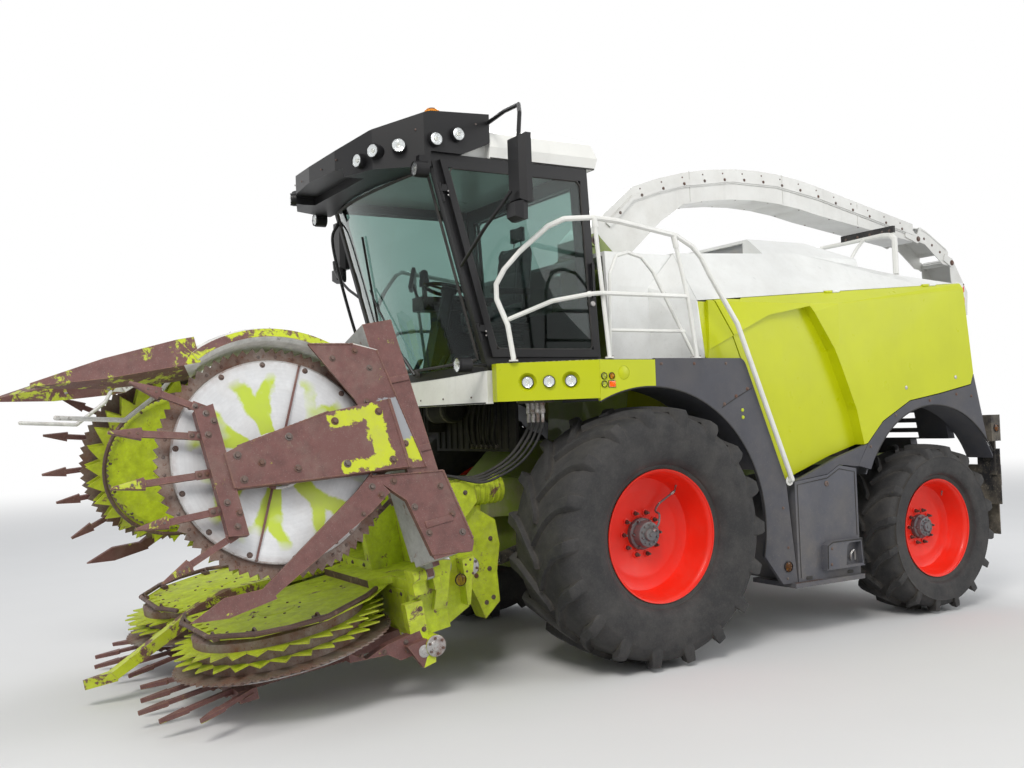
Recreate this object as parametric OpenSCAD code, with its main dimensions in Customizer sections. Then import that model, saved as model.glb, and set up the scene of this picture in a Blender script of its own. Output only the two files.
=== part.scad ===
/* [Place] */
// Distance of the front axle ahead of the middle of the whole length
front_axle_y = -670; // [-800:10:-500]

/* [Wheels] */
// Distance between the two axles
wheelbase = 3000; // [2900:10:3100]
// Front tyre radius over the lugs
front_tyre_r = 900; // [860:5:930]
// Front tyre width
front_tyre_w = 720; // [600:10:720]
// Front rim flange radius
front_rim_r = 457; // [430:1:470]
// Middle of the front tyre from the centre plane
front_wheel_x = 1215; // [1200:5:1260]
// Rear tyre radius over the lugs
rear_tyre_r = 705; // [660:5:715]
// Rear tyre width
rear_tyre_w = 520; // [440:10:530]
// Rear rim flange radius
rear_rim_r = 406; // [380:1:420]
// Middle of the rear tyre from the centre plane
rear_wheel_x = 1200; // [1190:5:1240]
// Height of a tread lug
lug_h = 45; // [30:1:50]
// Lugs on each side of a front tyre
front_lugs = 18; // [14:1:22]
// Lugs on each side of a rear tyre
rear_lugs = 16; // [14:1:20]

/* [Chassis] */
// Outer face of a frame rail from the centre plane
rail_x = 390; // [360:5:400]
// Width of a frame rail
rail_w = 120; // [80:5:140]
// Underside of the frame rails
rail_z = 1020; // [1000:5:1060]
// Height of a frame rail
rail_h = 280; // [200:10:300]
// Steering pin from the centre plane
kingpin_x = 800; // [780:5:810]
// Bore of the tow hitch for its pin
hitch_bore_d = 32; // [28:1:40]

/* [Body] */
// Outer face of the side covers from the centre plane
body_x = 1420; // [1400:5:1460]
// Thickness of covers and panels
skin = 30; // [20:1:40]
// Half width of the white hood beside the ladder
hood_x = 950; // [900:10:980]
// Height of the platform's floor
platform_z = 2130; // [2110:5:2140]
// Radius of the handrails' tube
rail_r = 19; // [16:1:22]

/* [Cab] */
// Half width of the cab
cab_x = 900; // [860:10:910]
// Thickness of cab posts and walls
post = 60; // [50:1:80]
// Thickness of the cab's glass
glass_t = 8; // [5:1:12]
// Height of the cab's floor
cab_floor_z = 2080; // [2060:5:2100]
// Underside of the cab's roof
cab_roof_z = 3560; // [3500:10:3600]
// How far the windscreen bulges forward
screen_bulge = 140; // [60:5:160]

/* [Chute] */
// Place of the chute's turning axis behind the front axle
turret_y = 550; // [520:5:600]
// Half width of the chute
chute_x = 180; // [160:5:185]
// Wall of the chute
chute_wall = 8; // [5:1:12]
// Radius of the chute's back
chute_r = 3946; // [3900:2:3990]
// Height of the highest point of the chute's back
chute_top_z = 3930; // [3900:5:3960]
// Depth of the chute from its back to its belly
chute_depth = 275; // [240:5:290]

/* [Header] */
// Nose-down tilt of the header
header_pitch = 10; // [8:0.5:12]
// Radius of a rotor over its coarse teeth
rotor_r = 665; // [640:5:670]
// Radius of a rotor over its knife ring
knife_r = 685; // [670:5:690]
// Distance between rotor axes
rotor_pitch = 1400; // [1385:5:1420]
// Angle by which the wings are folded up
fold_angle = 105; // [100:1:108]
// Wing hinge from the centre plane
fold_x = 1240; // [1230:2:1250]
// Wing hinge above the rotors' middle plane
fold_z = 217; // [210:1:225]
// Coarse teeth round a rotor
rotor_teeth = 28; // [24:1:36]
// Fine teeth round a knife ring
knife_teeth = 72; // [60:1:90]
// Radius of the bent guard tubes
guard_r = 16; // [12:1:20]

/* [Hidden] */
$fn = 48;

gap = 0.3;
front_axle_z = front_tyre_r;
rear_axle_z = rear_tyre_r;
rotor_row_y = -2450;
rotor_row_z = 440;

green = [0.72, 0.80, 0.06];
dark_green = [0.45, 0.55, 0.08];
white = [0.92, 0.92, 0.88];
grey = [0.33, 0.34, 0.38];
black = [0.06, 0.06, 0.07];
red = [0.85, 0.16, 0.07];
rust = [0.34, 0.17, 0.14];
steel = [0.6, 0.6, 0.62];
glass = [0.3, 0.45, 0.42, 0.35];

// Everything is placed from the point on the floor below the front axle
module machine() translate([0, front_axle_y, 0]) children();
// A profile drawn in Y and Z, from x0 to x1 along X
module side_slab(x0, x1) translate([x0, 0, 0]) rotate([90, 0, 90]) linear_extrude(x1 - x0) children();
// A profile drawn in X and Z, from y0 to y1 along Y
module front_slab(y0, y1) translate([0, y1, 0]) rotate([90, 0, 0]) linear_extrude(y1 - y0) children();
// A profile drawn in X and Y, from z0 to z1 along Z
module plan_slab(z0, z1) translate([0, 0, z0]) linear_extrude(z1 - z0) children();
module both_sides() {
  children();
  mirror([1, 0, 0]) children();
}
module block(lo, hi) translate(lo) cube(hi - lo);
// Turns what stands along Z so that it runs from point a towards point b
module aim(a, b) {
  d = b - a;
  translate(a) rotate([0, acos(d[2] / norm(d)), atan2(d[1], d[0])]) children();
}
// A round bar from point a to point b
module bar(a, b, r) aim(a, b) cylinder(h = norm(b - a), r = r);
// A bent tube through a list of points
module bent_tube(p, r) {
  for (i = [0 : len(p) - 2])
    hull() {
      translate(p[i]) sphere(r, $fn = 8);
      translate(p[i + 1]) sphere(r, $fn = 8);
    }
}
module along_x() rotate([0, 90, 0]) children();

// Wheels, turning about X
module tyre(r, w, rim_r) {
  tread = r - lug_h;
  h = w / 2;
  bead = h * 0.72 - gap;
  belly = rim_r + (r - rim_r) * 0.45;
  along_x() rotate_extrude() polygon([
    [rim_r - 22, -bead], [rim_r + 2, -bead], [belly, -h], [tread - 45, -h * 0.93], [tread, -h * 0.60],
    [tread, h * 0.60], [tread - 45, h * 0.93], [belly, h], [rim_r + 2, bead], [rim_r - 22, bead]]);
}
module lug(r, w) {
  l = w * 0.62;
  depth = 75;
  reach = sqrt(r * r - pow(l * 0.40, 2));
  translate([w * 0.24, 0, reach - depth]) rotate([0, 0, 38])
    translate([-l / 2, -w * 0.05, 0]) cube([l, w * 0.10, depth]);
}
module lugged_tyre(r, w, rim_r, lugs) {
  tyre(r, w, rim_r);
  for (i = [0 : lugs - 1]) {
    rotate([i * 360 / lugs, 0, 0]) lug(r, w);
    rotate([(i + 0.5) * 360 / lugs, 0, 0]) mirror([1, 0, 0]) lug(r, w);
  }
}
// Flange, bead seat, barrel and dished disc; disc_at is the disc's place along the axle
module rim(r, w, disc_at) {
  h = w * 0.36;
  hub = r * 0.30;
  along_x() rotate_extrude() polygon([
    [r - 22, -h], [r, -h], [r, -h - 12], [r - 34, -h - 12], [r - 36, disc_at - 60],
    [r - 60, disc_at - 14], [hub, disc_at - 14], [hub, disc_at + 60],
    [hub + 14, disc_at + 60], [hub + 30, disc_at], [r - 60, disc_at], [r - 44, disc_at + 30],
    [r - 36, h + 12], [r, h + 12], [r, h], [r - 22, h]]);
}
module wheel_hub(r, disc_at) {
  hub = r * 0.30;
  studs = 10;
  translate([disc_at - 14, 0, 0]) along_x() cylinder(h = 130, r = hub);
  translate([disc_at + 116, 0, 0]) along_x() cylinder(h = 30, r = hub * 0.55);
  for (i = [0 : studs - 1]) rotate([i * 360 / studs, 0, 0])
    translate([disc_at + 50, 0, hub + 8]) along_x() cylinder(h = 40, r = 14, $fn = 6);
}
module front_wheel_place() machine() translate([front_wheel_x, 0, front_axle_z]) children();
module rear_wheel_place() machine() translate([rear_wheel_x, wheelbase, rear_axle_z]) children();
front_disc = 20;
rear_disc = 10;
module front_rim() color(red) front_wheel_place() {
  rim(front_rim_r, front_tyre_w, front_disc);
  wheel_hub(front_rim_r, front_disc);
}
module front_tyre() color(black) front_wheel_place()
  lugged_tyre(front_tyre_r, front_tyre_w, front_rim_r, front_lugs);
module rear_rim() color(red) rear_wheel_place() {
  rim(rear_rim_r, rear_tyre_w, rear_disc);
  wheel_hub(rear_rim_r, rear_disc);
}
module rear_tyre() color(black) rear_wheel_place()
  lugged_tyre(rear_tyre_r, rear_tyre_w, rear_rim_r, rear_lugs);
module front_rim_left() front_rim();
module front_rim_right() mirror([1, 0, 0]) front_rim();
module front_tyre_left() front_tyre();
module front_tyre_right() mirror([1, 0, 0]) front_tyre();
module rear_rim_left() rear_rim();
module rear_rim_right() mirror([1, 0, 0]) rear_rim();
module rear_tyre_left() rear_tyre();
module rear_tyre_right() mirror([1, 0, 0]) rear_tyre();

// Axles
front_hub_x = front_wheel_x + front_disc - 14 - gap;
rear_hub_x = rear_wheel_x + rear_disc - 14 - gap;
yoke_gap = 130;
drive_x = 780;
module front_axle() color(dark_green) machine() translate([0, 0, front_axle_z]) {
  block([-drive_x - 10, -150, -140], [drive_x + 10, 150, rail_z - front_axle_z]);
  both_sides() translate([drive_x, 0, 0]) along_x() cylinder(h = 200, r = 215);
  both_sides() translate([drive_x + 199, 0, 0]) along_x() cylinder(h = front_hub_x - drive_x - 199,
      r = 150);
}
module rear_axle() color(grey) machine() translate([0, wheelbase, rear_axle_z]) difference() {
  both_sides() union() {
    block([-1, -100, -110], [kingpin_x - 140, 100, 155]);
    block([kingpin_x - 180, -100, -yoke_gap - 40], [kingpin_x, 100, yoke_gap + 40]);
    translate([kingpin_x, 0, -yoke_gap - 40]) cylinder(h = 2 * yoke_gap + 80, r = 100);
  }
  both_sides() block([kingpin_x - 110, -300, -yoke_gap], [kingpin_x + 290, 300, yoke_gap]);
}
module knuckle() color(grey) machine() translate([0, wheelbase, rear_axle_z]) {
  translate([kingpin_x, 0, gap - yoke_gap]) cylinder(h = 2 * (yoke_gap - gap), r = 60);
  translate([kingpin_x, 0, 0]) along_x() cylinder(h = rear_hub_x - kingpin_x, r = 75);
}
module knuckle_left() knuckle();
module knuckle_right() mirror([1, 0, 0]) knuckle();

// Frame, engine and crop flow
rear_end_y = wheelbase + 900;
cross_member_ys = [850, 2150, wheelbase + 700];
module chassis_frame() color(dark_green) machine() {
  both_sides() block([rail_x - rail_w, -750, rail_z], [rail_x, rear_end_y, rail_z + rail_h]);
  for (y = cross_member_ys)
    block([-rail_x + 20, y, rail_z + 40], [rail_x - 20, y + 160, rail_z + rail_h - 40]);
  block([-120, wheelbase - 200, rear_axle_z + 155 + gap], [120, wheelbase + 200, rail_z + 41]);
  block([-rail_x + 20, wheelbase - 200, rail_z + 40], [rail_x - 20, wheelbase + 200, rail_z + 120]);
  // shaft that the feed housing turns about, and the feet of the lift cylinders
  translate([-rail_x + 20, header_pivot[0], header_pivot[1]]) along_x() cylinder(h = 2 * rail_x - 40,
      r = shaft_r - gap);
  both_sides() {
    for (x = [lift_x - 59, lift_x + 48]) side_slab(x, x + 11)
      polygon([[-300, rail_z + 1], [-262, 772], [-178, 772], [-153, 850], [-153, rail_z + 1]]);
    translate(lift_base - [58, 0, 0]) along_x() cylinder(h = 116, r = 22);
  }
}
module engine_block() color(grey) machine()
  block([-430, 2300, rail_z + rail_h], [430, 3300, 2450]);
duct_top_z = 2990;
module chopper_housing() color(dark_green) machine() {
  in_x = rail_x - rail_w;
  difference() {
    side_slab(-in_x, in_x) polygon([[-640, 700], [-520, 620], [-160, 620], [-160, rail_z + 1],
        [640, rail_z + 1],
                                  [640, 1500], [300, 1560], [-300, 1560], [-640, 1240]]);
    translate([-in_x - 1, header_pivot[0], header_pivot[1]]) along_x() cylinder(h = 2 * in_x + 2,
        r = shaft_r);
  }
  side_slab(-in_x + 20, in_x - 20) polygon([[200, 1500], [620, 1480], [800, 2700], [300, 2700]]);
  translate([0, turret_y, 2650]) cylinder(h = duct_top_z - 2650, r = 270);
}
header_pivot = [-150, 1250];
shaft_r = 50;

// Body shape. Columns: place, half width, height of the crease, half width and height of the top edge
body_sections = [[600, body_x - 130, 2180, 1205, 2570], [1900, body_x, 2560, 1288, 2667],
                 [3560, body_x, 2740, 1395, 2790]];
// in is how far inside the outer surface the slice lies; an inner slice also runs past the ends and the top
module body_slice(s, in) {
  over = in > 0 ? 0.1 : 0;
  front_slab(s[0] - in, s[0] + 1 + in) polygon([
    [-in, 1000 - in], [s[1] - in, 1000 - in], [s[1] - in, s[2]],
    [s[3] - in - over * (s[1] - s[3]), s[4] + over * (s[4] - s[2])], [-in, s[4] + 4 * in]]);
}
module body_half(in) for (i = [0 : 1]) hull() {
  body_slice(body_sections[i], in);
  body_slice(body_sections[i + 1], in);
}
// Scooped front part of the covers, below the crease
module scoop() polygon([[560, 2155], [980, 2350], [1230, 2465], [1630, 2540], [1850, 2200], [2060, 1720],
                        [2130, 1440], [2130, 1100], [560, 1100]]);
scoop_floor = [[body_x - 131, 560], [body_x - 90, 2200]];
module covered(in) plan_slab(1000, 2900)
  polygon([scoop_floor[0] - [in, 0], scoop_floor[1] - [in, 0], [body_x + 20, 2200], [body_x + 20, 560]]);
// The seam along the top edge of the covers, which is also their hinge line
seam_ends = [[1205, 600, 2570], [1395, 3560, 2790]];
function seam_point(y) = seam_ends[0] + (y - seam_ends[0][1]) / (seam_ends[1][1] - seam_ends[0][1])
  * (seam_ends[1] - seam_ends[0]);
module seam_pin(y0, y1, r) bar(seam_point(y0), seam_point(y1), r);
seam_hinge_ys = [1900, 3000];
module seam_notches() for (y = seam_hinge_ys) seam_pin(y - 4, y + 160, 17, $fn = 8);
// A cover cut from the body's shell by an outline drawn in Y and Z
module cover_panel() difference() {
  intersection() {
    body_half(0);
    side_slab(1100, body_x + 10) children();
    union() {
      difference() {
        block([1100, 500, 1001], [body_x + 10, 3600, 2900]);
        body_half(skin);
      }
      intersection() {
        side_slab(1100, body_x + 10) offset(delta = 25) scoop();
        covered(skin);
      }
    }
  }
  intersection() {
    side_slab(1100, body_x + 10) scoop();
    covered(0);
  }
}
// The line where a lid's front edge meets the fixed strip, just behind the diagonal handrail
function split_y(z) = 1340 - 0.4 * (z - 1200);
module side_cover() color(green) machine() {
  for (y = seam_hinge_ys) seam_pin(y, y + 70, 13);
  difference() {
    cover_panel() polygon([[split_y(2850), 2850], [3440, 2850], [wheelbase + 462, 2720],
        [wheelbase + 543, 2000],
           [wheelbase + 500, 1905], [wheelbase + 90, 1835], [2700, 1780], [2360, 1620], [2170, 1450],
           [1820, 1360], [split_y(1200), 1200]]);
    seam_notches();
  }
}
module side_cover_left() side_cover();
module side_cover_right() mirror([1, 0, 0]) side_cover();
module cover_fronts() color(green) machine() both_sides() {
  cover_panel() polygon([[650, 2135], [735, 2620], [split_y(2700) - 12, 2700], [split_y(1200) - 12, 1200],
                         [1250, 1200], [880, 2135]]);
  for (z = [1300, 1600, 1900]) block([1290, 1215 - 0.4 * (z - 1200), z],
      [body_x - skin, 1245 - 0.4 * (z - 1200), z + 60]);
}

// Hood. Columns: place, half width and height of the seam, half width and height of the top
hood_sections = [[641, 1203, 2577, 945, 2970], [1900, 1286, 2671, 1010, 3020],
                 [3000, 1357, 2750, 1110, 2875], [3380, 1381, 2780, 1180, 2800]];
module hood_slice(s, in) front_slab(s[0] - in, s[0] + 1 + in)
  polygon([[-s[1] + in, s[2] - 10 * in], [-s[1] + in, s[2]], [-s[3] + in, s[4] - in],
           [s[3] - in, s[4] - in], [s[1] - in, s[2]], [s[1] - in, s[2] - 10 * in]]);
module hood_loft(in) for (i = [0 : 2]) hull() {
  hood_slice(hood_sections[i], in);
  hood_slice(hood_sections[i + 1], in);
}
module hood_front(in) front_slab(0, 642)
  polygon([[-hood_x + in, platform_z + 3], [-hood_x + in, 2700], [-hood_x + 15 + in, 2955 - in],
           [hood_x - 15 - in, 2955 - in], [hood_x - in, 2700], [hood_x - in, platform_z + 3]]);
module hood_top() color(white) machine() {
  difference() {
    union() {
      hood_front(0);
      hood_loft(0);
      // raised air intake
      intersection() {
        side_slab(-800, 800) polygon([[1730, 2900], [1730, 3195], [2400, 3200], [2860, 3060],
            [2900, 2900]]);
        front_slab(1700, 2900) polygon([[-800, 2900], [-790, 3050], [-600, 3210], [600, 3210],
            [790, 3050], [800, 2900]]);
      }
    }
    translate([0, -1, 0]) hood_front(skin);
    hood_loft(skin);
    block([-hood_x + skin, 500, platform_z], [hood_x - skin, 700, 2900]);
    block([-560, 1700, 3060], [560, 1760, 3170]);
    translate([0, turret_y, 2800]) cylinder(h = 400, r = 330);
    both_sides() seam_notches();
  }
  both_sides() for (y = seam_hinge_ys) seam_pin(y + 80, y + 150, 13);
  // the hood's side bends out to meet the covers
  both_sides() hull() {
    front_slab(380, 381) polygon([[hood_x - 3, platform_z + 4], [hood_x - 1, platform_z + 4], [hood_x - 1, 2695]]);
    front_slab(635, 645) polygon([[hood_x - 3, platform_z + 4], [body_x - 162, platform_z + 4], [body_x - 162, 2180],
                                  [1199, 2574], [hood_x - 6, 2960]]);
  }
}
module hood_rear() color(grey) machine() difference() {
  side_slab(-1360, 1360) polygon([[wheelbase + 383, 2740], [wheelbase + 470, 2770], [wheelbase + 540, 2000],
                                  [wheelbase + 700, 1300], [wheelbase + 610, 1300],
                                      [wheelbase + 455, 2000]]);
  for (i = [0 : 11]) block([-800, 3300, 1440 + i * 90], [800, 3800, 1490 + i * 90]);
  both_sides() block([700, 3300, 1200], [1400, 3800, 1430]);
  both_sides() translate([1110, wheelbase, arch_z]) along_x() cylinder(h = 400, r = arch_r + 20);
}

// Fenders, platforms and boxes
fender_r = 1035;
fender_y = 46;
module front_arch(r) translate([0, 0, front_axle_z]) along_x() cylinder(h = 3000, r = r, center = true);
module front_fenders() color(grey) machine() both_sides() {
  difference() {
    side_slab(body_x - skin, body_x)
      polygon([[fender_y, 1900], [fender_y, platform_z], [850, platform_z], [880, platform_z - 20],
          [895, 2085],
               [1250, 1200], [1330, box_low + 2], [1180, box_low + 2]]);
    front_arch(fender_r);
  }
  intersection() {
    translate([hood_x, 0, front_axle_z]) along_x() difference() {
      cylinder(h = body_x - skin - hood_x, r = fender_r + 16);
      translate([0, 0, -1]) cylinder(h = 3000, r = fender_r);
    }
    block([0, -430, 1300], [3000, 1200, platform_z - 45]);
  }
}
module platforms() color(black) machine() both_sides() plan_slab(platform_z - 44, platform_z - 4)
  polygon([[930, -945], [985, -950], [body_x - 46, -419], [body_x - skin - gap, -419],
      [body_x - skin - gap, 605],
           [hood_x + gap, 605], [hood_x + gap, 0], [930, 0]]);
fascia_low_z = 1860;
fascia_corner = [[940, -990], [1010, -1000], [body_x, -432]];
module fascia_lamp(t) {
  a = fascia_corner[1];
  b = fascia_corner[2];
  p = a + t * (b - a);
  translate([p[0], p[1], 1985]) rotate([0, 90, atan2(a[0] - b[0], b[1] - a[1])]) children();
}
module lamp_fascias() color(green) machine() both_sides() {
  difference() {
    union() {
      plan_slab(fascia_low_z, platform_z - 10) polygon([
        [930, -988], fascia_corner[1], fascia_corner[2], [body_x - 40, -425], [990, -958], [930, -952]]);
      fascia_lamp(0.30) translate([0, 0, -45]) cylinder(h = 30, r = 75);
      fascia_lamp(0.72) translate([0, 0, -45]) cylinder(h = 30, r = 75);
    }
    fascia_lamp(0.30) translate([0, 0, -22]) cylinder(h = 60, r1 = 45, r2 = 95);
    fascia_lamp(0.72) translate([0, 0, -22]) cylinder(h = 60, r1 = 45, r2 = 95);
  }
  difference() {
    side_slab(body_x - skin, body_x) polygon([[-430, 1800], [-430, platform_z - 10],
        [fender_y - 1, platform_z - 10],
                                              [fender_y - 1, 1800]]);
    front_arch(fender_r + 2);
    translate([body_x - 12, -230, 2030]) along_x() cylinder(h = 60, r = 48);
  }
}
box_front = 1340;
box_rear = 2020;
box_low = 430;
module side_boxes() color(grey) machine() both_sides() {
  side_slab(700, body_x) polygon([[box_front, box_low], [box_front, 1190], [1700, 1225], [1830, 1290],
      [box_rear, 1255],
                                  [box_rear, box_low]]);
  block([rail_x, 1400, 1050], [701, 1500, 1150]);
  block([rail_x, 1900, 1050], [701, 2000, 1150]);
  // step moulding with its open pocket
  difference() {
    side_slab(body_x - 1, body_x + 55) polygon([[1590, 500], [1600, 690], [1660, 715], [1990, 715],
        [2010, 500]]);
    side_slab(body_x + 5, body_x + 60) polygon([[1800, 520], [1820, 670], [1850, 690], [1970, 690],
        [1985, 520]]);
  }
  side_slab(1000, body_x + 40) polygon([[box_front - 70, box_low - 35], [box_front - 70, box_low],
      [box_rear, box_low],
                                        [box_rear, box_low - 35]]);
}
arch_z = 840;
arch_r = 900;
module rear_arches() color(grey) machine() both_sides() {
  difference() {
    side_slab(body_x - skin, body_x)
      polygon([[2050, 1275], [2170, 1440], [2360, 1612], [2700, 1772], [wheelbase + 90, 1827],
          [wheelbase + 500, 1896],
               [wheelbase + 545, 1990], [wheelbase + 830, 860], [wheelbase + 700, 860]]);
    translate([0, wheelbase, arch_z]) along_x() cylinder(h = 3000, r = arch_r, center = true);
    block([0, wheelbase, 0], [3000, wheelbase + 770, 1320]);
  }
  intersection() {
    translate([1130, wheelbase, arch_z]) along_x() difference() {
      cylinder(h = body_x - skin - 1130, r = arch_r + 14);
      translate([0, 0, -1]) cylinder(h = 3000, r = arch_r);
    }
    block([0, 2050, 1200], [3000, wheelbase + 800, 1820]);
  }
  // fixed rail between the side box and the lid
  side_slab(body_x - skin, body_x) polygon([[1355, 1195], [1820, 1353], [2165, 1442], [2045, 1270],
      [1830, 1295],
                                            [1700, 1230]]);
}
module rear_bumper() color(black) machine() {
  block([-1340, rear_end_y, 1000], [1340, rear_end_y + 80, 1180]);
  both_sides() {
    block([920, rear_end_y + 80, 560], [1300, rear_end_y + 92, 1180]);
    block([1190, wheelbase + 862, 840], [1410, wheelbase + 874, 1330]);
    block([1280, wheelbase + 873, 1020], [1330, rear_end_y + 1, 1160]);
    block([1330, wheelbase + 728, 1400], [body_x + 20, wheelbase + 850, 1630]);
    block([1330, wheelbase + 840, 1100], [1380, wheelbase + 862, 1500]);
  }
  // tow hitch
  difference() {
    block([-70, rear_end_y + 79, 820], [70, rear_end_y + 210, 1120]);
    block([-71, rear_end_y + 110, 900], [71, rear_end_y + 211, 1040]);
    translate([0, rear_end_y + 155, 800]) cylinder(h = 340, r = hitch_bore_d / 2);
  }
}

foot_z = platform_z + gap;
grip_x = 1330;
rail_feet = [[1085, -905], [1400, -330], [1405, 440], [grip_x, -275], [grip_x, 480]];
module handrails() color(white) machine() both_sides() {
  bent_tube([[1085, -905, foot_z + 20], [1065, -930, 2380], [1022, -985, 2560], [1022, -985, 2660],
      [1060, -940, 2760],
             [1130, -850, 2880], [1240, -690, 3040], [1310, -600, 3085], [1420, -430, 3085],
                 [1440, -250, 3070],
             [1440, 260, 3000], [1446, 400, 2930], [1450, 480, 2850], [1450, 560, 2720], [1450, 800, 2380],
             [1450, 1285, 1210]], rail_r);
  bent_tube([[1075, -920, 2420], [1250, -680, 2530], [1400, -470, 2566], [1435, -400, 2570],
      [1435, 330, 2570]], rail_r - 3);
  bent_tube([[1420, -430, 3085], [1400, -330, foot_z + 16]], rail_r - 3);
  bent_tube([[1440, 240, 3000], [1436, 350, 2570], [1405, 440, foot_z + 16]], rail_r - 3);
  bent_tube([[1450, 1285, 1210], [1425, 1285, 1200]], rail_r);
  // arched grip beside the ladder
  bent_tube([[grip_x, -275, foot_z + 14], [grip_x, -250, 2720], [grip_x, -190, 2850],
      [grip_x, -90, 2880], [grip_x, 30, 2850],
             [grip_x, 130, 2750], [grip_x, 480, foot_z + 14]], rail_r - 6);
  bent_tube([[grip_x, -268, 2330], [grip_x, 390, 2330]], rail_r - 6);
  for (p = rail_feet) translate([p[0], p[1], foot_z]) cylinder(h = 10, r = 32);
}

// Cab
cab_rear_y = -40;
cab_front_y = -1000;
cab_top_front_y = -1400;
screen_lean = atan2(cab_front_y - cab_top_front_y, cab_roof_z - cab_floor_z);
screen_half = cab_x - post;
screen_r = (screen_half * screen_half + screen_bulge * screen_bulge) / (2 * screen_bulge);
screen_len = 1514;
sill_h = 60;
hinge_x = cab_x + 16;
// Point of the door's hinge line at a height; the line runs up the front post
function hinge_point(z) = [hinge_x, cab_front_y - (z - cab_floor_z) * tan(screen_lean), z];
hinge_zs = [cab_floor_z + 200, cab_floor_z + 1150];
module hinge_plate(z, y0, y1, x0, x1) {
  p = hinge_point(z);
  block([x0, p[1] + y0, z + 5], [x1, p[1] + y1, z + 50]);
}
// A curved sheet lying in the windscreen, from z0 to z1 along its slope
module screen_shell(t, z0, z1, w) translate([0, cab_front_y, cab_floor_z]) rotate([screen_lean, 0, 0])
  intersection() {
    translate([0, screen_r - screen_bulge, z0]) difference() {
      cylinder(h = z1 - z0, r = screen_r, $fn = 180);
      translate([0, 0, -1]) cylinder(h = z1 - z0 + 2, r = screen_r - t, $fn = 180);
    }
    block([-w, -screen_bulge - 5, z0 - 1], [w, 200, z1 + 1]);
  }
module cab_side() polygon([[cab_rear_y, cab_floor_z - 1], [cab_front_y, cab_floor_z - 1],
                           [cab_top_front_y, cab_roof_z], [cab_rear_y - 70, cab_roof_z]]);
module side_window() polygon([[-112, cab_floor_z + 105], [-960, cab_floor_z + 105],
    [-1305, cab_roof_z - 70],
                              [-180, cab_roof_z - 70]]);
module cab_frame() color(black) machine() {
  // floor with its bowed front
  intersection() {
    block([-cab_x, -1200, cab_floor_z - 60], [cab_x, cab_rear_y, cab_floor_z]);
    translate([0, 1615, cab_floor_z - 61]) cylinder(h = 70, r = 2725, $fn = 180);
  }
  both_sides() difference() {
    side_slab(cab_x - post, cab_x) cab_side();
    side_slab(cab_x - post - 1, cab_x + 1) side_window();
  }
  screen_shell(50, 0, sill_h, screen_half + 1);
  screen_shell(50, screen_len - sill_h, screen_len, screen_half + 1);
  // rear wall and its window
  difference() {
    side_slab(-cab_x + 1, cab_x - 1) polygon([[cab_rear_y, cab_floor_z - 1],
        [cab_rear_y - post, cab_floor_z - 1],
                                              [cab_rear_y - post - 70, cab_roof_z],
                                                  [cab_rear_y - 70, cab_roof_z]]);
    block([-cab_x + 150, -400, 2550], [cab_x - 150, 100, cab_roof_z - 110]);
  }
  // work lamps at the foot of the windscreen
  both_sides() {
    bar([875, -985, 2115], [945, -1182, 2115], 12);
    translate([948, -1175, 2115]) rotate([90, 0, 0]) cylinder(h = 85, r = 56);
  }
  // door hinges
  for (z = hinge_zs) {
    bar(hinge_point(z), hinge_point(z + 60), 13);
    hinge_plate(z, -2, 10, cab_x - 2, hinge_x);
  }
}
module cab_roof() color(white) machine() intersection() {
  front_slab(-2000, 0) polygon([[-905, cab_roof_z + gap], [-925, 3640], [-905, 3740], [-800, 3810],
      [-560, 3845],
                                [560, 3845], [800, 3810], [905, 3740], [925, 3640],
                                    [905, cab_roof_z + gap]]);
  side_slab(-1000, 1000) polygon([[-40, cab_roof_z + gap], [-25, 3640], [-70, 3740], [-220, 3815],
      [-900, 3845],
                                  [-1390, 3835], [-1390, cab_roof_z + gap]]);
  union() {
    block([-1000, -940, 3500], [1000, 0, 3900]);
    block([-860, -1400, 3500], [860, -939, 3900]);
  }
}
// Lamps of the visor: place and the direction they face in plan
visor_lamps = [[650, -1795, 3515, 18], [765, -1735, 3560, 30], [850, -1600, 3590, 62],
               [925, -1370, 3640, 90], [925, -1200, 3690, 90]];
module lamp_visor() color(black) machine() difference() {
  union() {
    intersection() {
      plan_slab(3400, 3900) polygon([[-930, -942], [-930, -1450], [-750, -1750], [-400, -1880], [0, -1920],
                                     [400, -1880], [750, -1750], [930, -1450], [930, -942]]);
      side_slab(-1000, 1000) polygon([[-942, 3660], [-1400, 3455], [-1780, 3440], [-1925, 3445],
          [-1925, 3610],
                                      [-1760, 3710], [-1400, 3835], [-942, 3862]]);
    }
    for (l = visor_lamps) for (s = [-1, 1])
      translate([s * l[0], l[1], l[2]]) rotate([90, 0, s * l[3]]) translate([0, 0,
          -45]) cylinder(h = 70, r = 52);
    both_sides() translate([940, -1445, 3425]) rotate([90, 0, 0]) cylinder(h = 80, r = 55);
    both_sides() block([880, -1500, 3440], [950, -1450, 3520]);
  }
  block([-861, -1391, 3400], [861, -900, 3900]);
  block([-1100, -1401, 3300], [1100, -900, cab_roof_z + 1]);
  block([-480, -2000, 3430], [480, -1700, 3500]);
  intersection() {
    block([-2000, -2000, 3300], [2000, 0, cab_roof_z + 1]);
    translate([0, cab_front_y, cab_floor_z]) rotate([screen_lean, 0, 0])
      translate([0, screen_r - screen_bulge, 900]) cylinder(h = 1000, r = screen_r + 2, $fn = 180);
  }
}
module cab_glass() color(glass) machine() {
  screen_shell(glass_t, sill_h + gap, screen_len - sill_h - gap, screen_half - 1);
  mirror([1, 0, 0]) side_slab(cab_x - 34, cab_x - 34 + glass_t) side_window();
  side_slab(-cab_x + 151, cab_x - 151) polygon([[-90, 2551], [-98, 2551], [-136, cab_roof_z - 111],
      [-128, cab_roof_z - 111]]);
}
module door_side() polygon([[-65, cab_floor_z + 92], [-975, cab_floor_z + 92], [-1335, cab_roof_z - 50],
                            [-135, cab_roof_z - 50]]);
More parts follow.
